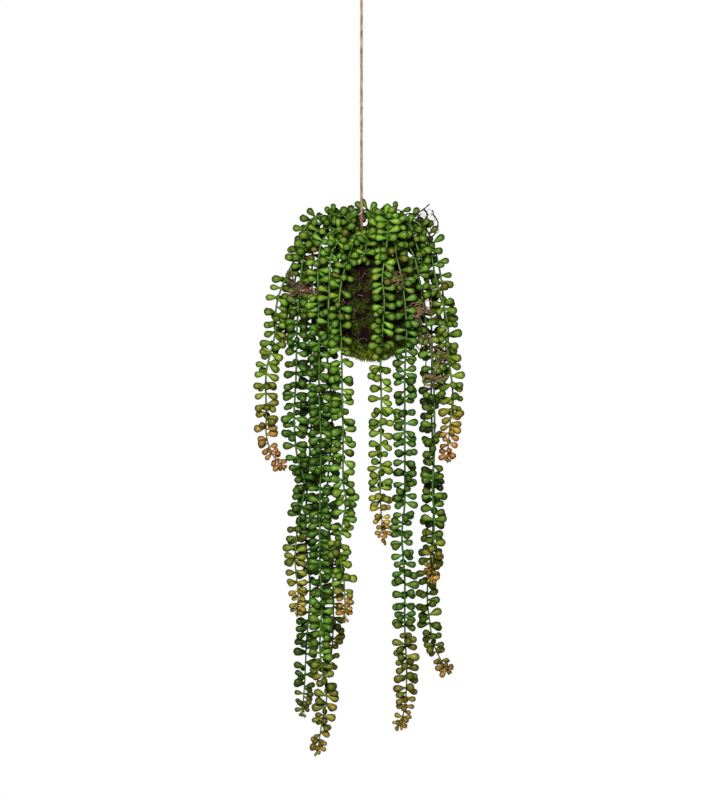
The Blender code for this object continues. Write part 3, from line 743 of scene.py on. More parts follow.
STEMS = {
    "stem_far_left": [
        (-22, 3, 55), (-24, 3, 70), (-31, 2, 85), (-48, 0, 96), (-65, -2, 93), (-75, -3, 77),
        (-79, -4, 58), (-93, -6, 30), (-103, -6, 0), (-105, -8, -33), (-114, -8, -73), (-114, -6, -117),
        (-114, -5, -141), (-107, -4, -162), (-94, -2, -177),
    ],
    "stem_left": [
        (-25, -8, 52), (-28, -10, 69), (-41, -14, 82), (-58, -17, 80), (-70, -17, 64), (-76, -16, 38),
        (-79, -14, 5), (-81, -12, -32), (-82, -10, -79), (-84, -8, -122), (-81, -6, -162),
        (-73, -4, -194), (-80, -3, -238), (-83, -2, -275), (-80, -1, -310), (-81, 0, -334),
    ],
    "stem_left_back": [
        (-22, 13, 55), (-26, 15, 75), (-37, 18, 90), (-53, 22, 90), (-63, 24, 72), (-65, 24, 38),
        (-65, 22, -27), (-67, 20, -81), (-66, 19, -135), (-70, 18, -194), (-72, 17, -248),
        (-67, 16, -308), (-71, 15, -367), (-73, 15, -410), (-76, 15, -446),
    ],
    "stem_left_front": [
        (-21, -15, 51), (-24, -18, 68), (-31, -22, 81), (-43, -25, 79), (-54, -28, 67), (-58, -28, 43),
        (-58, -27, 11), (-57, -25, -38), (-57, -25, -92), (-55, -25, -146), (-56, -25, -211),
        (-56, -25, -278), (-54, -25, -324), (-56, -25, -373), (-49, -24, -421), (-54, -24, -450),
        (-59, -23, -484),
    ],
    "stem_centre_back": [
        (-13, 20, 59), (-16, 25, 77), (-26, 31, 92), (-39, 37, 91), (-46, 42, 70), (-49, 43, 27),
        (-49, 42, -49), (-44, 42, -103), (-44, 41, -146), (-49, 41, -211), (-43, 41, -281),
        (-42, 41, -340), (-44, 41, -378), (-50, 40, -403),
    ],
    "stem_front_left": [
        (-13, -25, 46), (-13, -30, 64), (-18, -38, 70), (-24, -46, 54), (-30, -52, 35), (-35, -57, 5),
        (-33, -57, -38), (-32, -55, -92), (-31, -54, -146), (-31, -53, -189), (-28, -53, -213),
        (-35, -52, -259), (-30, -51, -297), (-29, -50, -341),
    ],
    "stem_front_right": [
        (8, -19, 51), (5, -21, 75), (9, -26, 93), (15, -35, 96), (17, -45, 83), (16, -54, 67),
        (13, -61, 46), (11, -64, 27), (13, -65, 3), (11, -65, -29), (9, -64, -65), (10, -62, -108),
        (9, -60, -162), (9, -58, -213), (13, -57, -255),
    ],
    "stem_right_front": [
        (15, -15, 53), (18, -18, 72), (23, -25, 87), (26, -35, 86), (25, -43, 72), (26, -49, 52),
        (31, -53, 32), (35, -55, 3), (37, -55, -32), (35, -54, -72), (35, -52, -113), (35, -50, -162),
        (35, -49, -211), (32, -49, -248), (35, -48, -297), (35, -47, -346), (37, -46, -394),
        (35, -45, -432), (27, -45, -457),
    ],
    "stem_right_inner": [
        (22, -9, 52), (25, -13, 67), (31, -19, 72), (38, -26, 65), (45, -31, 52), (50, -33, 32),
        (54, -31, 5), (59, -28, -27), (65, -24, -62), (67, -21, -103), (67, -20, -157), (65, -20, -200),
        (67, -20, -228), (66, -20, -262), (63, -20, -299),
    ],
    "stem_right_back": [
        (17, 12, 59), (23, 15, 77), (32, 18, 89), (44, 20, 86), (54, 21, 71), (59, 21, 43), (63, 19, 5),
        (65, 17, -49), (64, 16, -103), (66, 15, -157), (67, 15, -211), (65, 15, -258), (60, 14, -308),
        (62, 13, -340), (68, 12, -370), (83, 10, -399),
    ],
    "stem_far_right": [
        (23, 1, 57), (28, 0, 73), (38, -3, 87), (49, -5, 89), (57, -7, 77), (64, -8, 53), (69, -9, 27),
        (77, -10, 0), (82, -11, -25), (82, -12, -54), (87, -11, -94), (84, -10, -130), (81, -8, -168),
    ],
    "stem_short_left": [
        (-19, 7, 58), (-25, 8, 78), (-35, 8, 93), (-51, 9, 93), (-66, 11, 79), (-76, 14, 57),
        (-83, 16, 29), (-87, 17, 0), (-92, 17, -22), (-98, 17, -37),
    ],
    "stem_short_front": [
        (-18, -20, 49), (-24, -28, 65), (-32, -36, 70), (-42, -42, 59), (-45, -45, 40), (-46, -46, 14),
        (-47, -47, -14), (-46, -46, -42),
    ],
    "stem_short_crown": [
        (-11, -12, 55), (-16, -11, 76), (-25, -11, 91), (-35, -12, 98), (-44, -13, 97), (-51, -14, 91),
    ],
    "stem_short_top": [
        (1, -8, 57), (1, -7, 78), (-1, -3, 95), (-4, 5, 103), (-9, 13, 102), (-13, 20, 93),
    ],
    "stem_short_back_left": [
        (-5, 24, 59), (-9, 28, 80), (-17, 33, 95), (-25, 43, 93), (-29, 52, 75), (-31, 58, 46),
        (-33, 60, 5), (-35, 58, -38),
    ],
    "stem_short_back": [
        (3, 23, 59), (4, 28, 80), (6, 36, 94), (9, 47, 92), (10, 57, 75), (11, 62, 46), (12, 63, 5),
        (10, 61, -43),
    ],
    "stem_short_back_right": [
        (10, 20, 59), (16, 26, 78), (25, 33, 92), (32, 43, 89), (37, 50, 69), (39, 53, 40), (40, 54, 5),
        (38, 51, -36),
    ],
    "stem_short_right": [
        (19, 6, 58), (25, 8, 76), (36, 9, 91), (49, 9, 92), (60, 9, 80), (69, 9, 56), (75, 9, 27),
        (78, 7, -5), (80, 5, -43), (75, 5, -85),
    ],
    "stem_short_right_top": [(12, 2, 58), (14, 2, 78), (18, 1, 95), (26, 0, 103), (35, -2, 99)],
    "stem_short_front_right": [
        (0, -18, 51), (-2, -24, 68), (-5, -33, 75), (-6, -42, 64), (-9, -48, 46),
    ],
    "stem_short_right_front": [
        (18, -4, 55), (23, -7, 75), (31, -11, 87), (41, -17, 85), (46, -21, 70), (52, -22, 51),
        (56, -21, 27),
    ],
}

# Balls that stand for one leaf where room is looked for: how far out and how wide, as shares
LEAF_BALLS = ((0.33, 0.5), (0.5, 0.78), (0.66, 1.0), (0.8, 0.88))


def leaves_ball(line):
    """The place in the line where it is clear of the ball's surface."""
    return next(i for i, point in enumerate(line) if above_ball(point) > BALL_CLEAR)


def directions(line):
    """The direction of the line at each of its points, and one side of it that doesn't twist."""
    along = [(b - a).normalized() for a, b in zip(line, line[1:])]
    along.append(along[-1])
    side, sides = along[0].orthogonal().normalized(), []
    for way in along:
        side = (side - way * side.dot(way)).normalized()
        sides.append(side)
    return along, sides


class Crowd:
    """Balls that stand for all that has grown so far, filed by the cell they lie in."""

    def __init__(self):
        self.cells = {}

    def cell(self, point):
        return tuple(math.floor(v / CELL) for v in point)

    def add(self, point, radius, owner=None, at=0.0):
        self.cells.setdefault(self.cell(point), []).append((point, radius, owner, at))

    def has_room(self, point, radius, owner, at, room):
        if above_ball(point) < radius + BALL_LUMP + LEAF_ROOM:
            return False
        x, y, z = self.cell(point)
        near = ((x + i, y + j, z + k) for i in (-1, 0, 1) for j in (-1, 0, 1) for k in (-1, 0, 1))
        for cell in near:
            for other, wide, whose, where in self.cells.get(cell, ()):
                if whose == owner and abs(where - at) < OWN_STEM:
                    continue
                if (other - point).length < radius + wide + room:
                    return False
        return True


def leaf_fits(leaf, crowd, owner, at, room=LEAF_ROOM):
    root, way, length, wide = leaf
    return all(
        crowd.has_room(root + way * length * out, wide * share, owner, at, room)
        for out, share in LEAF_BALLS
    )


def keep_leaf(leaf, crowd):
    root, way, length, wide = leaf
    for out, share in LEAF_BALLS:
        crowd.add(root + way * length * out, wide * share)


def leaf_at(line, ways, at, turn, lean, size):
    """A leaf whose root is on the line, as its root, direction, length and half width."""
    along, sides = ways
    i = min(int(at / STEM_STEP), len(line) - 1)
    out = Matrix.Rotation(turn, 3, along[i]) @ sides[i]
    way = (out * math.cos(lean) + along[i] * math.sin(lean)).normalized()
    return line[i], way, LEAF_LENGTH * size, LEAF_HALF_WIDTH * size


def grown(to_tip, young):
    """The size of a leaf by how far it is from its stem's tip."""
    share = min(1.0, to_tip / YOUNG_STRETCH)
    return young + (1 - young) * share


def young_size(name):
    """The size of the leaves at a stem's tip: small on a long stem, nearly full in the crown."""
    crown = name.startswith("stem_short_") and name not in HANGING_SHORT
    return CROWN_YOUNG if crown else YOUNG_SIZE


def flat_turn(ways, at):
    """The turn round the stem that lays a leaf out to one side of it, as seen from the front."""
    along, sides = ways
    i = min(int(at / STEM_STEP), len(along) - 1)
    flat = along[i].cross(Vector((0, 1, 0)))
    return math.atan2(sides[i].cross(flat).dot(along[i]), sides[i].dot(flat))


def main_leaves(name, line, crowd, rng):
    """Leaves on the stem's two sides, each where there is room for it, and a tuft at the tip."""
    ways, young = directions(line), young_size(name)
    long = (len(line) - 1) * STEM_STEP
    at = leaves_ball(line) * STEM_STEP + rng.uniform(*FIRST_LEAF)
    twist = math.radians(rng.uniform(-STEM_TWIST, STEM_TWIST))
    side, leaves = rng.choice((0, 1)), []
    while at < long - BARE_TIP:
        size = grown(long - at, young) * rng.uniform(*LEAF_SPREAD)
        for attempt in range(LEAF_TRIES):
            spread = math.radians(rng.gauss(0, SIDE_SPREAD * (1 + WIDER_TRY * attempt)))
            turn = flat_turn(ways, at) + twist + math.pi * (side + attempt) + spread
            lean = math.radians(rng.uniform(*LEAF_LEAN))
            leaf = leaf_at(line, ways, at, turn, lean, size)
            if leaf_fits(leaf, crowd, name, at):
                keep_leaf(leaf, crowd)
                leaves.append(leaf)
                break
        side += 1
        at += rng.uniform(*LEAF_APART) * (YOUNG_APART + (1 - YOUNG_APART) * grown(long - at, young))
    turn = twist
    for lean, back in zip(TUFT_LEAN, TUFT_BACK):
        turn += math.tau / len(TUFT_LEAN)
        leaf = leaf_at(line, ways, long - back, turn, math.radians(lean), young)
        if leaf_fits(leaf, crowd, name, long):
            keep_leaf(leaf, crowd)
            leaves.append(leaf)
    return leaves


# The leaves between the main ones: how many there are at a place, how far on the first and the next
# place are, and how long a place is. Some stems are barer above a height: that height, and how much
# farther apart their places are
GROUP_LEAVES = (3, 4, 4, 5)
GROUP_START = 2
GROUP_APART = (9.6, 12.8)
GROUP_LENGTH = 5.5
SPARSE = {
    "stem_far_left": (0, 1.7),
    "stem_far_right": (0, 1.8),
    "stem_short_right": (-100, 1.8),
    "stem_right_inner": (-240, 1.35),
    "stem_right_back": (-260, 1.35),
}

# How they stand in a group, how far two may press into each other, and how the crown's leaves thin
# out at the front and at its outline
ANY_SIDE = 0.2
FILL_SIDE = 20.0
FILL_WIDER = 0.4
FILL_LEAN = (-20.0, 30.0)
FILL_SPREAD = (0.9, 1.18)
FILL_YOUNG = 0.7
FILL_TRIES = 5
PRESSED = -0.7
CROWN_THIN = 0.35
CROWN_FRONT = 0.0
OUTLINE_MIDDLE = Vector((-9.0, 0.0, 30.0))
OUTLINE_HALF = 86.0
OUTLINE_THIN = 0.65

# The young leaves that fill the tuft, from the closed ones at its end to the open ones
TUFT_FILL = 8
TUFT_REACH = 12.0
TUFT_SHORT = 4.5
TUFT_SLIM = 0.64
TUFT_SIZE = (0.95, 1.55)
TUFT_CLOSED = 20.0
TUFT_OPENS = 60.0
TUFT_STRAY = 8.0

# What stays free of them: the twine, the view of its foot from the front, and the view of the far
# right stem's coloured tip, to the right of a place and between two heights
HOOK_HEIGHT = 378.0
TWINE_X = -11.4
TWINE_ROOM = 4.0
TWINE_STEP = 2
FOOT_HEIGHTS = range(86, 116, 3)
FOOT_DEPTHS = range(0, 45, 5)
FOOT_ROOM = 3.0
OPEN_VIEW = {"stem_right_inner": (71.0, -175.0, -96.0), "stem_right_back": (73.0, -175.0, -96.0)}


def more_leaves(name, line, crowd, rng):
    """Leaves in groups on the stem's two sides, wherever there is room, and more at the tip."""
    ways, young = directions(line), young_size(name)
    long = (len(line) - 1) * STEM_STEP
    at = leaves_ball(line) * STEM_STEP + GROUP_START
    twist, turn, leaves = math.radians(rng.uniform(-STEM_TWIST, STEM_TWIST)), 0.0, []
    crown = young == CROWN_YOUNG
    while at < long - BARE_TIP:
        side = rng.choice((0, 1))
        for _ in range(rng.choice(GROUP_LEAVES)):
            here = min(at + rng.uniform(0, GROUP_LENGTH) * grown(long - at, young), long - BARE_TIP)
            size = max(FILL_YOUNG, grown(long - here, young)) * rng.uniform(*FILL_SPREAD)
            side = 1 - side
            point = line[int(here / STEM_STEP)]
            thin = crown or point.z > BALL_HALF_HEIGHT
            if thin and rng.random() < CROWN_THIN and point.y < CROWN_FRONT:
                continue
            anywhere = rng.uniform(0, math.tau) if rng.random() < ANY_SIDE else 0.0
            for attempt in range(FILL_TRIES):
                spread = math.radians(rng.gauss(0, FILL_SIDE * (1 + FILL_WIDER * attempt)))
                turn = flat_turn(ways, here) + twist + math.pi * side + anywhere + spread
                lean = math.radians(rng.uniform(*FILL_LEAN))
                leaf = leaf_at(line, ways, here, turn, lean, size)
                end = leaf[0] + leaf[1] * leaf[2] - OUTLINE_MIDDLE
                beyond = end.z > 0 and math.hypot(end.x, end.z) > OUTLINE_HALF
                if beyond and rng.random() < OUTLINE_THIN:
                    break
                if leaf_fits(leaf, crowd, name, here, PRESSED):
                    keep_leaf(leaf, crowd)
                    leaves.append(leaf)
                    break
        lowest, wider = SPARSE.get(name, (0, 1))
        wider = wider if line[int(at / STEM_STEP)].z > lowest else 1
        at += rng.uniform(*GROUP_APART) * grown(long - at, young) * wider
    for k in range(0 if crown else TUFT_FILL):
        share = k / (TUFT_FILL - 1)
        lean = math.radians(TUFT_CLOSED + TUFT_OPENS * share + rng.uniform(-TUFT_STRAY, TUFT_STRAY))
        size = YOUNG_SIZE * rng.uniform(*TUFT_SIZE)
        turn += LEAF_TURN
        at = long - TUFT_SHORT - TUFT_REACH * (1 - share)
        root, way, length, wide = leaf_at(line, ways, at, turn, lean, size)
        leaves.append((root, way, length, wide * TUFT_SLIM))
    return leaves


def in_view(name, leaf):
    """Whether a leaf would stand before the far right stem's tip."""
    if name not in OPEN_VIEW:
        return False
    right, low, high = OPEN_VIEW[name]
    end = leaf[0] + leaf[1] * leaf[2]
    return end.x >= right and low < end.z < high


stem_lines = {name: smooth(rooted(route)) for name, route in STEMS.items()}
crowd = Crowd()
for name, line in stem_lines.items():
    for i, point in enumerate(line):
        crowd.add(point, STEM_RADIUS, name, i * STEM_STEP)
for branches in sprig_lines.values():
    for line in branches:
        for point in line:
            crowd.add(point, SPRIG_RADIUS)
for k in range(int((HOOK_HEIGHT - BALL_HALF_HEIGHT) / TWINE_STEP)):
    crowd.add(Vector((TWINE_X, 0, BALL_HALF_HEIGHT + TWINE_STEP * k)), TWINE_ROOM)
rng = random.Random(SEED)
leaves_of = {name: main_leaves(name, line, crowd, rng) for name, line in stem_lines.items()}
for route, first, final in GNARLS["sprig_low_right"]:
    for point in smooth(route):
        crowd.add(point, max(first, final))
for height in FOOT_HEIGHTS:
    for front in FOOT_DEPTHS:
        crowd.add(Vector((TWINE_X, -front, height)), FOOT_ROOM)
rng = random.Random(SEED + 1)
for name, line in stem_lines.items():
    more = more_leaves(name, line, crowd, rng)
    leaves_of[name] += [leaf for leaf in more if not in_view(name, leaf)]

# The colours of leaves as they ripen, and the height at which each stem comes to each of them
# In the crown the front stems start in the lightest green, their fresh colour and painted light, and the
# three back stems in deep green, their own colour and painted shade.
LEAF_TINTS = {
    "fresh_and_lit_green": (166, 200, 98),
    "green": (146, 178, 84),
    "deep_green": (112, 148, 72),
    "dark_green": (96, 128, 62),
    "olive_green": (124, 148, 68),
    "blue_green": (112, 146, 78),
    "dusk": (160, 144, 76),
    "yellow_green": (164, 182, 82),
    "olive": (188, 176, 84),
    "gold": (234, 186, 98),
    "orange": (255, 170, 112),
    "salmon": (255, 156, 118),
    "bronze": (206, 154, 92),
}
STEM_TINTS = {
    "stem_far_left": (
        (60, "green"), (-57, "yellow_green"), (-115, "olive"), (-140, "orange"), (-164, "salmon"),
    ),
    "stem_left": (
        (40, "green"), (-20, "deep_green"), (-220, "deep_green"), (-275, "olive"), (-312, "gold"),
    ),
    "stem_left_back": ((60, "deep_green"), (-300, "deep_green"), (-400, "dark_green"), (-430, "dusk")),
    "stem_left_front": (
        (80, "fresh_and_lit_green"), (20, "fresh_and_lit_green"), (-10, "green"), (-60, "deep_green"),
        (-300, "deep_green"), (-370, "green"), (-405, "dusk"), (-450, "dusk"), (-475, "bronze"),
    ),
    "stem_centre_back": ((60, "deep_green"), (-310, "green"), (-345, "olive"), (-368, "gold")),
    "stem_front_left": (
        (60, "green"), (-230, "green"), (-275, "yellow_green"), (-302, "yellow_green"),
        (-318, "orange"),
    ),
    "stem_front_right": (
        (90, "fresh_and_lit_green"), (40, "fresh_and_lit_green"), (10, "green"), (-40, "green"), (-70, "yellow_green"),
        (-200, "yellow_green"), (-222, "gold"), (-245, "orange"),
    ),
    "stem_right_front": (
        (60, "green"), (-30, "blue_green"), (-330, "blue_green"), (-360, "dusk"), (-405, "dusk"),
        (-430, "bronze"),
    ),
    "stem_right_inner": (
        (60, "green"), (-60, "green"), (-120, "olive_green"), (-235, "olive_green"), (-262, "olive"),
        (-276, "bronze"), (-296, "orange"),
    ),
    "stem_right_back": (
        (60, "deep_green"), (-240, "deep_green"), (-300, "yellow_green"), (-350, "yellow_green"),
        (-374, "olive"), (-396, "orange"),
    ),
    "stem_far_right": (
        (60, "green"), (-70, "yellow_green"), (-102, "yellow_green"), (-112, "olive"), (-124, "gold"),
        (-140, "orange"), (-158, "salmon"),
    ),
    "stem_short_front": ((60, "fresh_and_lit_green"), (0, "fresh_and_lit_green"), (-40, "green")),
    "stem_short_left": ((60, "green"), (-12, "olive"), (-34, "orange")),
    "stem_short_right": ((60, "green"), (-60, "olive"), (-82, "gold")),
}
PLAIN_TINTS = ((60, "green"),)

# Leaves are painted darker towards the back of the plant, as painted shade away from the key light, and
# here and there one in the crown browns. The bare stem takes a share of its leaves' colour
PAINTED_SHADE_STARTS = -20.0
PAINTED_SHADE_FULL = 40.0
BACK_PAINTED_SHADE = 0.68
BROWNED = 0.06
BROWNED_SHARE = (0.4, 0.8)
BROWNED_DARK = 0.85
TINT_SPREAD = (0.86, 1.12)
RED_SPREAD = (0.93, 1.09)
STEM_GREEN = (92, 120, 78)
STEM_RIPE = 0.35

# A leaf: its sides, how plump and how flat one may be, how bright its neck is, how much brighter its
# middle and darker its end, and how wide its pointed ends are before their corners are merged
LEAF_SIDES = 8
LEAF_PLUMP = (0.94, 1.12)
LEAF_FLAT = (0.85, 1.0)
ANY_TURN = 6.3
NECK_BRIGHT = 0.8
MIDDLE_BRIGHT = 0.28
MIDDLE_SHORT = 1.05
END_DARK = 0.05
POINT_WIDE = 0.0004
POINT_MERGE = 0.001

# Rings of a leaf from its root to its end: how far out and how wide, as shares
LEAF_RINGS = ((0.0, 0.0), (0.05, 0.26), (0.2, 0.37), (0.38, 0.7), (0.58, 0.95), (0.79, 1.0),
              (0.94, 0.62), (1.0, 0.0))


def tint_at(name, height):
    """The colour of a stem's leaves at one height."""
    stops = STEM_TINTS.get(name, PLAIN_TINTS)
    high, colour = stops[0][0], Vector(LEAF_TINTS[stops[0][1]])
    for low, tint in stops[1:]:
        target = Vector(LEAF_TINTS[tint])
        if height <= low:
            high, colour = low, target
            continue
        share = max(0.0, (high - height) / (high - low))
        return colour.lerp(target, share)
    return colour


def club_leaf():
    """One leaf, 1 long and 1 in half width, standing on its neck along +Z."""
    bm = bmesh.new()
    along = bm.verts.layers.float.new("along_leaf")
    ring = bmesh.ops.create_circle(bm, cap_ends=False, segments=LEAF_SIDES, radius=1)["verts"]
    edges = bm.edges[:]
    for number, (out, wide) in enumerate(LEAF_RINGS):
        if number:
            made = bmesh.ops.extrude_edge_only(bm, edges=edges)["geom"]
            ring = [g for g in made if isinstance(g, bmesh.types.BMVert)]
            edges = [g for g in made if isinstance(g, bmesh.types.BMEdge)]
        for vert in ring:
            flat = Vector((vert.co.x, vert.co.y, 0)).normalized()
            vert.co = flat * max(wide, POINT_WIDE) + Vector((0, 0, out))
            vert[along] = out
    bmesh.ops.remove_doubles(bm, verts=bm.verts, dist=POINT_MERGE)
    bmesh.ops.recalc_face_normals(bm, faces=bm.faces)
    return mesh_from(bm, "club_leaf")


def bright_at(out):
    """How bright a leaf is at one place along it."""
    middle = math.sin(math.pi * min(1.0, out * MIDDLE_SHORT))
    return NECK_BRIGHT + MIDDLE_BRIGHT * middle - END_DARK * out


def copied(bm, master):
    """The corners of a new copy of the master in the same bmesh."""
    made = bmesh.ops.duplicate(bm, geom=master)["geom"]
    return [g for g in made if isinstance(g, bmesh.types.BMVert)]


def leaf_tint(name, root, rng):
    """The colour of one leaf: ripe as its stem is there, darker towards the back as painted shade, and a
    little its own.
    """
    # painted shade: the farther back a leaf's root is, the darker its tint
    painted_lit = min(1.0, max(0.0, (PAINTED_SHADE_FULL - root.y) / (PAINTED_SHADE_FULL - PAINTED_SHADE_STARTS)))
    ripe_tint = tint_at(name, root.z)
    if rng.random() < BROWNED and root.z > 0:
        ripe_tint = ripe_tint.lerp(Vector(LEAF_TINTS["bronze"]), rng.uniform(*BROWNED_SHARE))
        ripe_tint *= BROWNED_DARK
    tint = ripe_tint * rng.uniform(*TINT_SPREAD) * (BACK_PAINTED_SHADE + (1 - BACK_PAINTED_SHADE) * painted_lit)
    tint.x *= rng.uniform(*RED_SPREAD)
    return tint


leaf_mesh = club_leaf()
leaf_skin, tree, shader = new_material(
    "leaf_skin", Specular_IOR_Level=0.55, Coat_Weight=1.0, Coat_Roughness=0.35, Coat_IOR=1.01,
    Coat_Tint=(0.34, 0.41, 0.23, 1),
)
ripe = add_node(tree, "ShaderNodeAttribute", attribute_name="leaf_colour")
mottle = add_node(tree, "ShaderNodeTexNoise", Scale=230.0, Detail=4.0, Roughness=0.55)
shade = add_node(tree, "ShaderNodeMapRange", From_Min=0.3, From_Max=0.7, To_Min=0.74, To_Max=1.2)
coloured = add_node(tree, "ShaderNodeVectorMath", operation="SCALE")
waxy = add_node(tree, "ShaderNodeMapRange", From_Min=0.3, From_Max=0.7, To_Min=0.32, To_Max=0.46)
pores = add_node(tree, "ShaderNodeTexNoise", Scale=1500.0, Detail=2.0)
on_surface(tree, mottle, pores)
add_relief(tree, shader, pores, "Fac", Strength=0.12, Distance=0.0002)
join(
    tree,
    (mottle, "Fac", shade, "Value"),
    (ripe, "Color", coloured, "Vector"),
    (shade, "Result", coloured, "Scale"),
    (coloured, "Vector", shader, "Base Color"),
    (mottle, "Fac", waxy, "Value"),
    (waxy, "Result", shader, "Roughness"),
)

rng = random.Random(SEED + 2)
for name, line in stem_lines.items():
    last = len(line) - 1
    taper = [max(0.0, (i / last - TAPER_FROM) / (1 - TAPER_FROM)) for i in range(last + 1)]
    thick = [1 - (1 - STEM_TIP) * share for share in taper]
    runner = [BALL_AT + point for point in line[::2] + line[-1:]]
    stem_tube = bars(name + "_runner", [runner], STEM_RADIUS, sides=8,
                     thickness=[thick[::2] + thick[-1:]])
    bm = bmesh.new()
    bm.from_mesh(leaf_mesh)
    along = bm.verts.layers.float["along_leaf"]
    colour = bm.verts.layers.float_color.new("leaf_colour")
    master = bm.verts[:] + bm.edges[:] + bm.faces[:]
    for root, way, length, wide in leaves_of[name]:
        leaf_verts = copied(bm, master)
        turn = way.to_track_quat("Z", "Y").to_matrix().to_4x4()
        turn = turn @ Matrix.Rotation(rng.uniform(0, ANY_TURN), 4, "Z")
        plump = rng.uniform(*LEAF_PLUMP)
        flat = rng.uniform(*LEAF_FLAT)
        size = Matrix.Diagonal((wide * plump * MM, wide * flat * plump * MM, length * MM, 1))
        where = Matrix.Translation(BALL_MIDDLE + root * MM) @ turn @ size
        bmesh.ops.transform(bm, matrix=where, verts=leaf_verts)
        tint = leaf_tint(name, root, rng)
        for vert in leaf_verts:
            bright = bright_at(vert[along])
            vert[colour] = screen_colour(*(min(255.0, v * bright) for v in tint))
    bmesh.ops.delete(bm, geom=master, context="VERTS")
    leaf_count = len(bm.verts)
    bm.from_mesh(stem_tube)
    bm.verts.ensure_lookup_table()
    for vert in bm.verts[leaf_count:]:
        height = (vert.co.z - BALL_MIDDLE.z) / MM
        tint = Vector(STEM_GREEN).lerp(tint_at(name, height), STEM_RIPE)
        vert[colour] = screen_colour(*tint)
    stem = put(mesh_from(bm, "leafy_" + name), leaf_skin)
    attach(stem, "root")
    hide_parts(name)

# The moss grows on the ball as short upright blades in cushions, and hangs longer under it. A blade
# stands where the ball is mossy enough, leans its own way and droops at its end.
MOSS_TRIES = 16000
MOSS_BARE = 0.2
MOSS_DENSE = 1.3
BLADE_RADIUS = 0.3
BLADE_LONG = (1.4, 2.8)
BLADE_SUNK = 0.3
BLADE_SIZES = (1.0, 0.85, 0.2)
BLADE_LEAN = 0.45
BLADE_RISE = 0.3
BLADE_KNEE = 0.55
BLADE_DROOP = 0.35
DROOP_LONG = 0.4
FRINGE_TOP = -30.0
FRINGE_DEPTH = 28.0
FRINGE_LONG = 2.2
FRINGE_FALL = 0.5
MOSS_SEED = 21


def any_way(rng):
    """A direction drawn by chance."""
    return Vector((rng.gauss(0, 1), rng.gauss(0, 1), rng.gauss(0, 1))).normalized()


rng = random.Random(MOSS_SEED)
blades = []
for _ in range(MOSS_TRIES):
    way = any_way(rng)
    point = way * ball_skin_at(way)
    if rng.random() > (mossy(point) - MOSS_BARE) * MOSS_DENSE:
        continue
    low = max(0.0, (FRINGE_TOP - point.z) / FRINGE_DEPTH)
    long = rng.uniform(*BLADE_LONG) + FRINGE_LONG * low * rng.random()
    lean = Vector((rng.gauss(0, BLADE_LEAN), rng.gauss(0, BLADE_LEAN),
                   rng.gauss(0, BLADE_RISE) - FRINGE_FALL * low))
    grow = (way + lean).normalized()
    root = BALL_AT + point - way * BLADE_SUNK
    droop = Vector((0, 0, -BLADE_DROOP - FRINGE_FALL * low))
    blades.append([root, root + grow * long * BLADE_KNEE,
                   root + grow * long + droop * long * DROOP_LONG])
moss_mesh = bars("moss_blades", blades, BLADE_RADIUS, sides=4, thickness=[BLADE_SIZES] * len(blades))
moss, tree, shader = new_material("moss_green", Roughness=0.9, Specular_IOR_Level=0.15)
patches = add_node(tree, "ShaderNodeTexNoise", Scale=110.0, Detail=4.0, Roughness=0.6)
ramp = add_ramp(tree, (0.36, (36, 44, 6)), (0.68, (132, 152, 34)))
# Painted shade: the blades are darkened above the hem, where the crown shades the ball, and the hem
# under it is brightest
height = add_node(tree, "ShaderNodeSeparateXYZ")
damp_patches_and_moss_shade = add_node(tree, "ShaderNodeMapRange", From_Min=-0.43, From_Max=-0.405, To_Min=1.15, To_Max=0.38)
moss_with_painted_shade = add_node(tree, "ShaderNodeVectorMath", operation="SCALE")
on_surface(tree, patches, height)
join(
    tree,
    (height, "Z", damp_patches_and_moss_shade, "Value"),
    (patches, "Fac", ramp, "Fac"),
    (ramp, "Color", moss_with_painted_shade, "Vector"),
    (damp_patches_and_moss_shade, "Result", moss_with_painted_shade, "Scale"),
    (moss_with_painted_shade, "Vector", shader, "Base Color"),
)
moss_blades = put(moss_mesh, moss)
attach(moss_blades, "root")

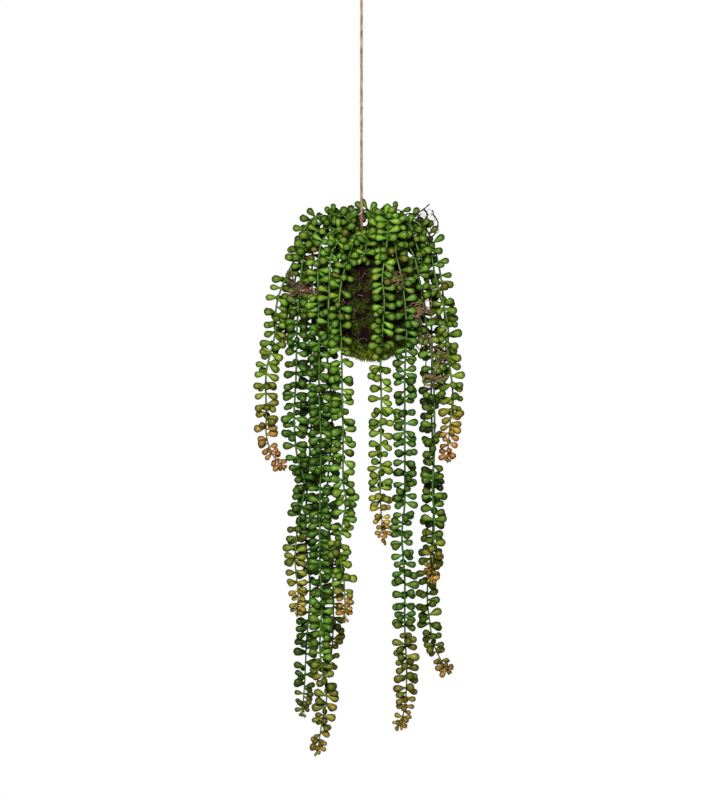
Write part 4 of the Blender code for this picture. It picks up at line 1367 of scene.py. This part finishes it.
# Crumbs of soil and grains of bark stick to the ball's damp surface, where they were pressed on as
# it was packed.
CRUMB_COUNT = 1500
CRUMB_SIZE = (0.5, 1.3)
CRUMB_OUT = 0.1
CRUMB_SEED = 29
bm = bmesh.new()
bmesh.ops.create_icosphere(bm, subdivisions=1, radius=1)
master = bm.verts[:] + bm.edges[:] + bm.faces[:]
rng = random.Random(CRUMB_SEED)
for _ in range(CRUMB_COUNT):
    way = any_way(rng)
    crumb_verts = copied(bm, master)
    size = Matrix.Diagonal([rng.uniform(*CRUMB_SIZE) * MM for _ in range(3)] + [1])
    turn = Matrix.Rotation(rng.uniform(0, math.tau), 4, way.orthogonal())
    where = Matrix.Translation(BALL_MIDDLE + way * (ball_skin_at(way) + CRUMB_OUT) * MM)
    bmesh.ops.transform(bm, matrix=where @ turn @ size, verts=crumb_verts)
bmesh.ops.delete(bm, geom=master, context="VERTS")
crumb_piece = put(mesh_from(bm, "soil_crumbs"), soil, smooth_faces=False)
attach(crumb_piece, "root")

# Coir fibres and fine roots work loose from the ball and curl over it. Both ends of each are sunk
# in the soil.
COIR_COUNT = 240
COIR_RADIUS = 0.24
COIR_POINTS = (7, 20)
COIR_SIZE = (0.6, 1.3)
COIR_LIFT = 0.5
COIR_LOOSE = 1.6
COIR_BEND = 0.6
COIR_STEP = 0.024
COIR_SUNK = 2.5
COIR_SEED = 33
rng = random.Random(COIR_SEED)
fibres, taper = [], []
for _ in range(COIR_COUNT):
    way = any_way(rng)
    going = way.orthogonal()
    going.rotate(Matrix.Rotation(rng.uniform(0, math.tau), 3, way))
    fibre = []
    for _ in range(rng.randint(*COIR_POINTS)):
        lift = COIR_LIFT + COIR_LOOSE * rng.random()
        fibre.append(BALL_AT + way * (ball_skin_at(way) + lift))
        going = (going + jitter(rng, COIR_BEND)).normalized()
        way = (way + going * COIR_STEP).normalized()
    fibre[0] = fibre[0] - way * COIR_SUNK
    fibre[-1] = fibre[-1] - way * COIR_SUNK
    fibres.append(fibre)
    taper.append([rng.uniform(*COIR_SIZE)] * len(fibre))
coir_mesh = bars("coir_fibres", fibres, COIR_RADIUS, sides=6, thickness=taper)
coir = fibrous("coir_brown", (40, 25, 22), (122, 86, 58), scale=600.0, stretch=(1.0, 1.0, 0.6),
               roughness=0.85, height=0.0002)
coir_fibres = put(coir_mesh, coir)
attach(coir_fibres, "root")
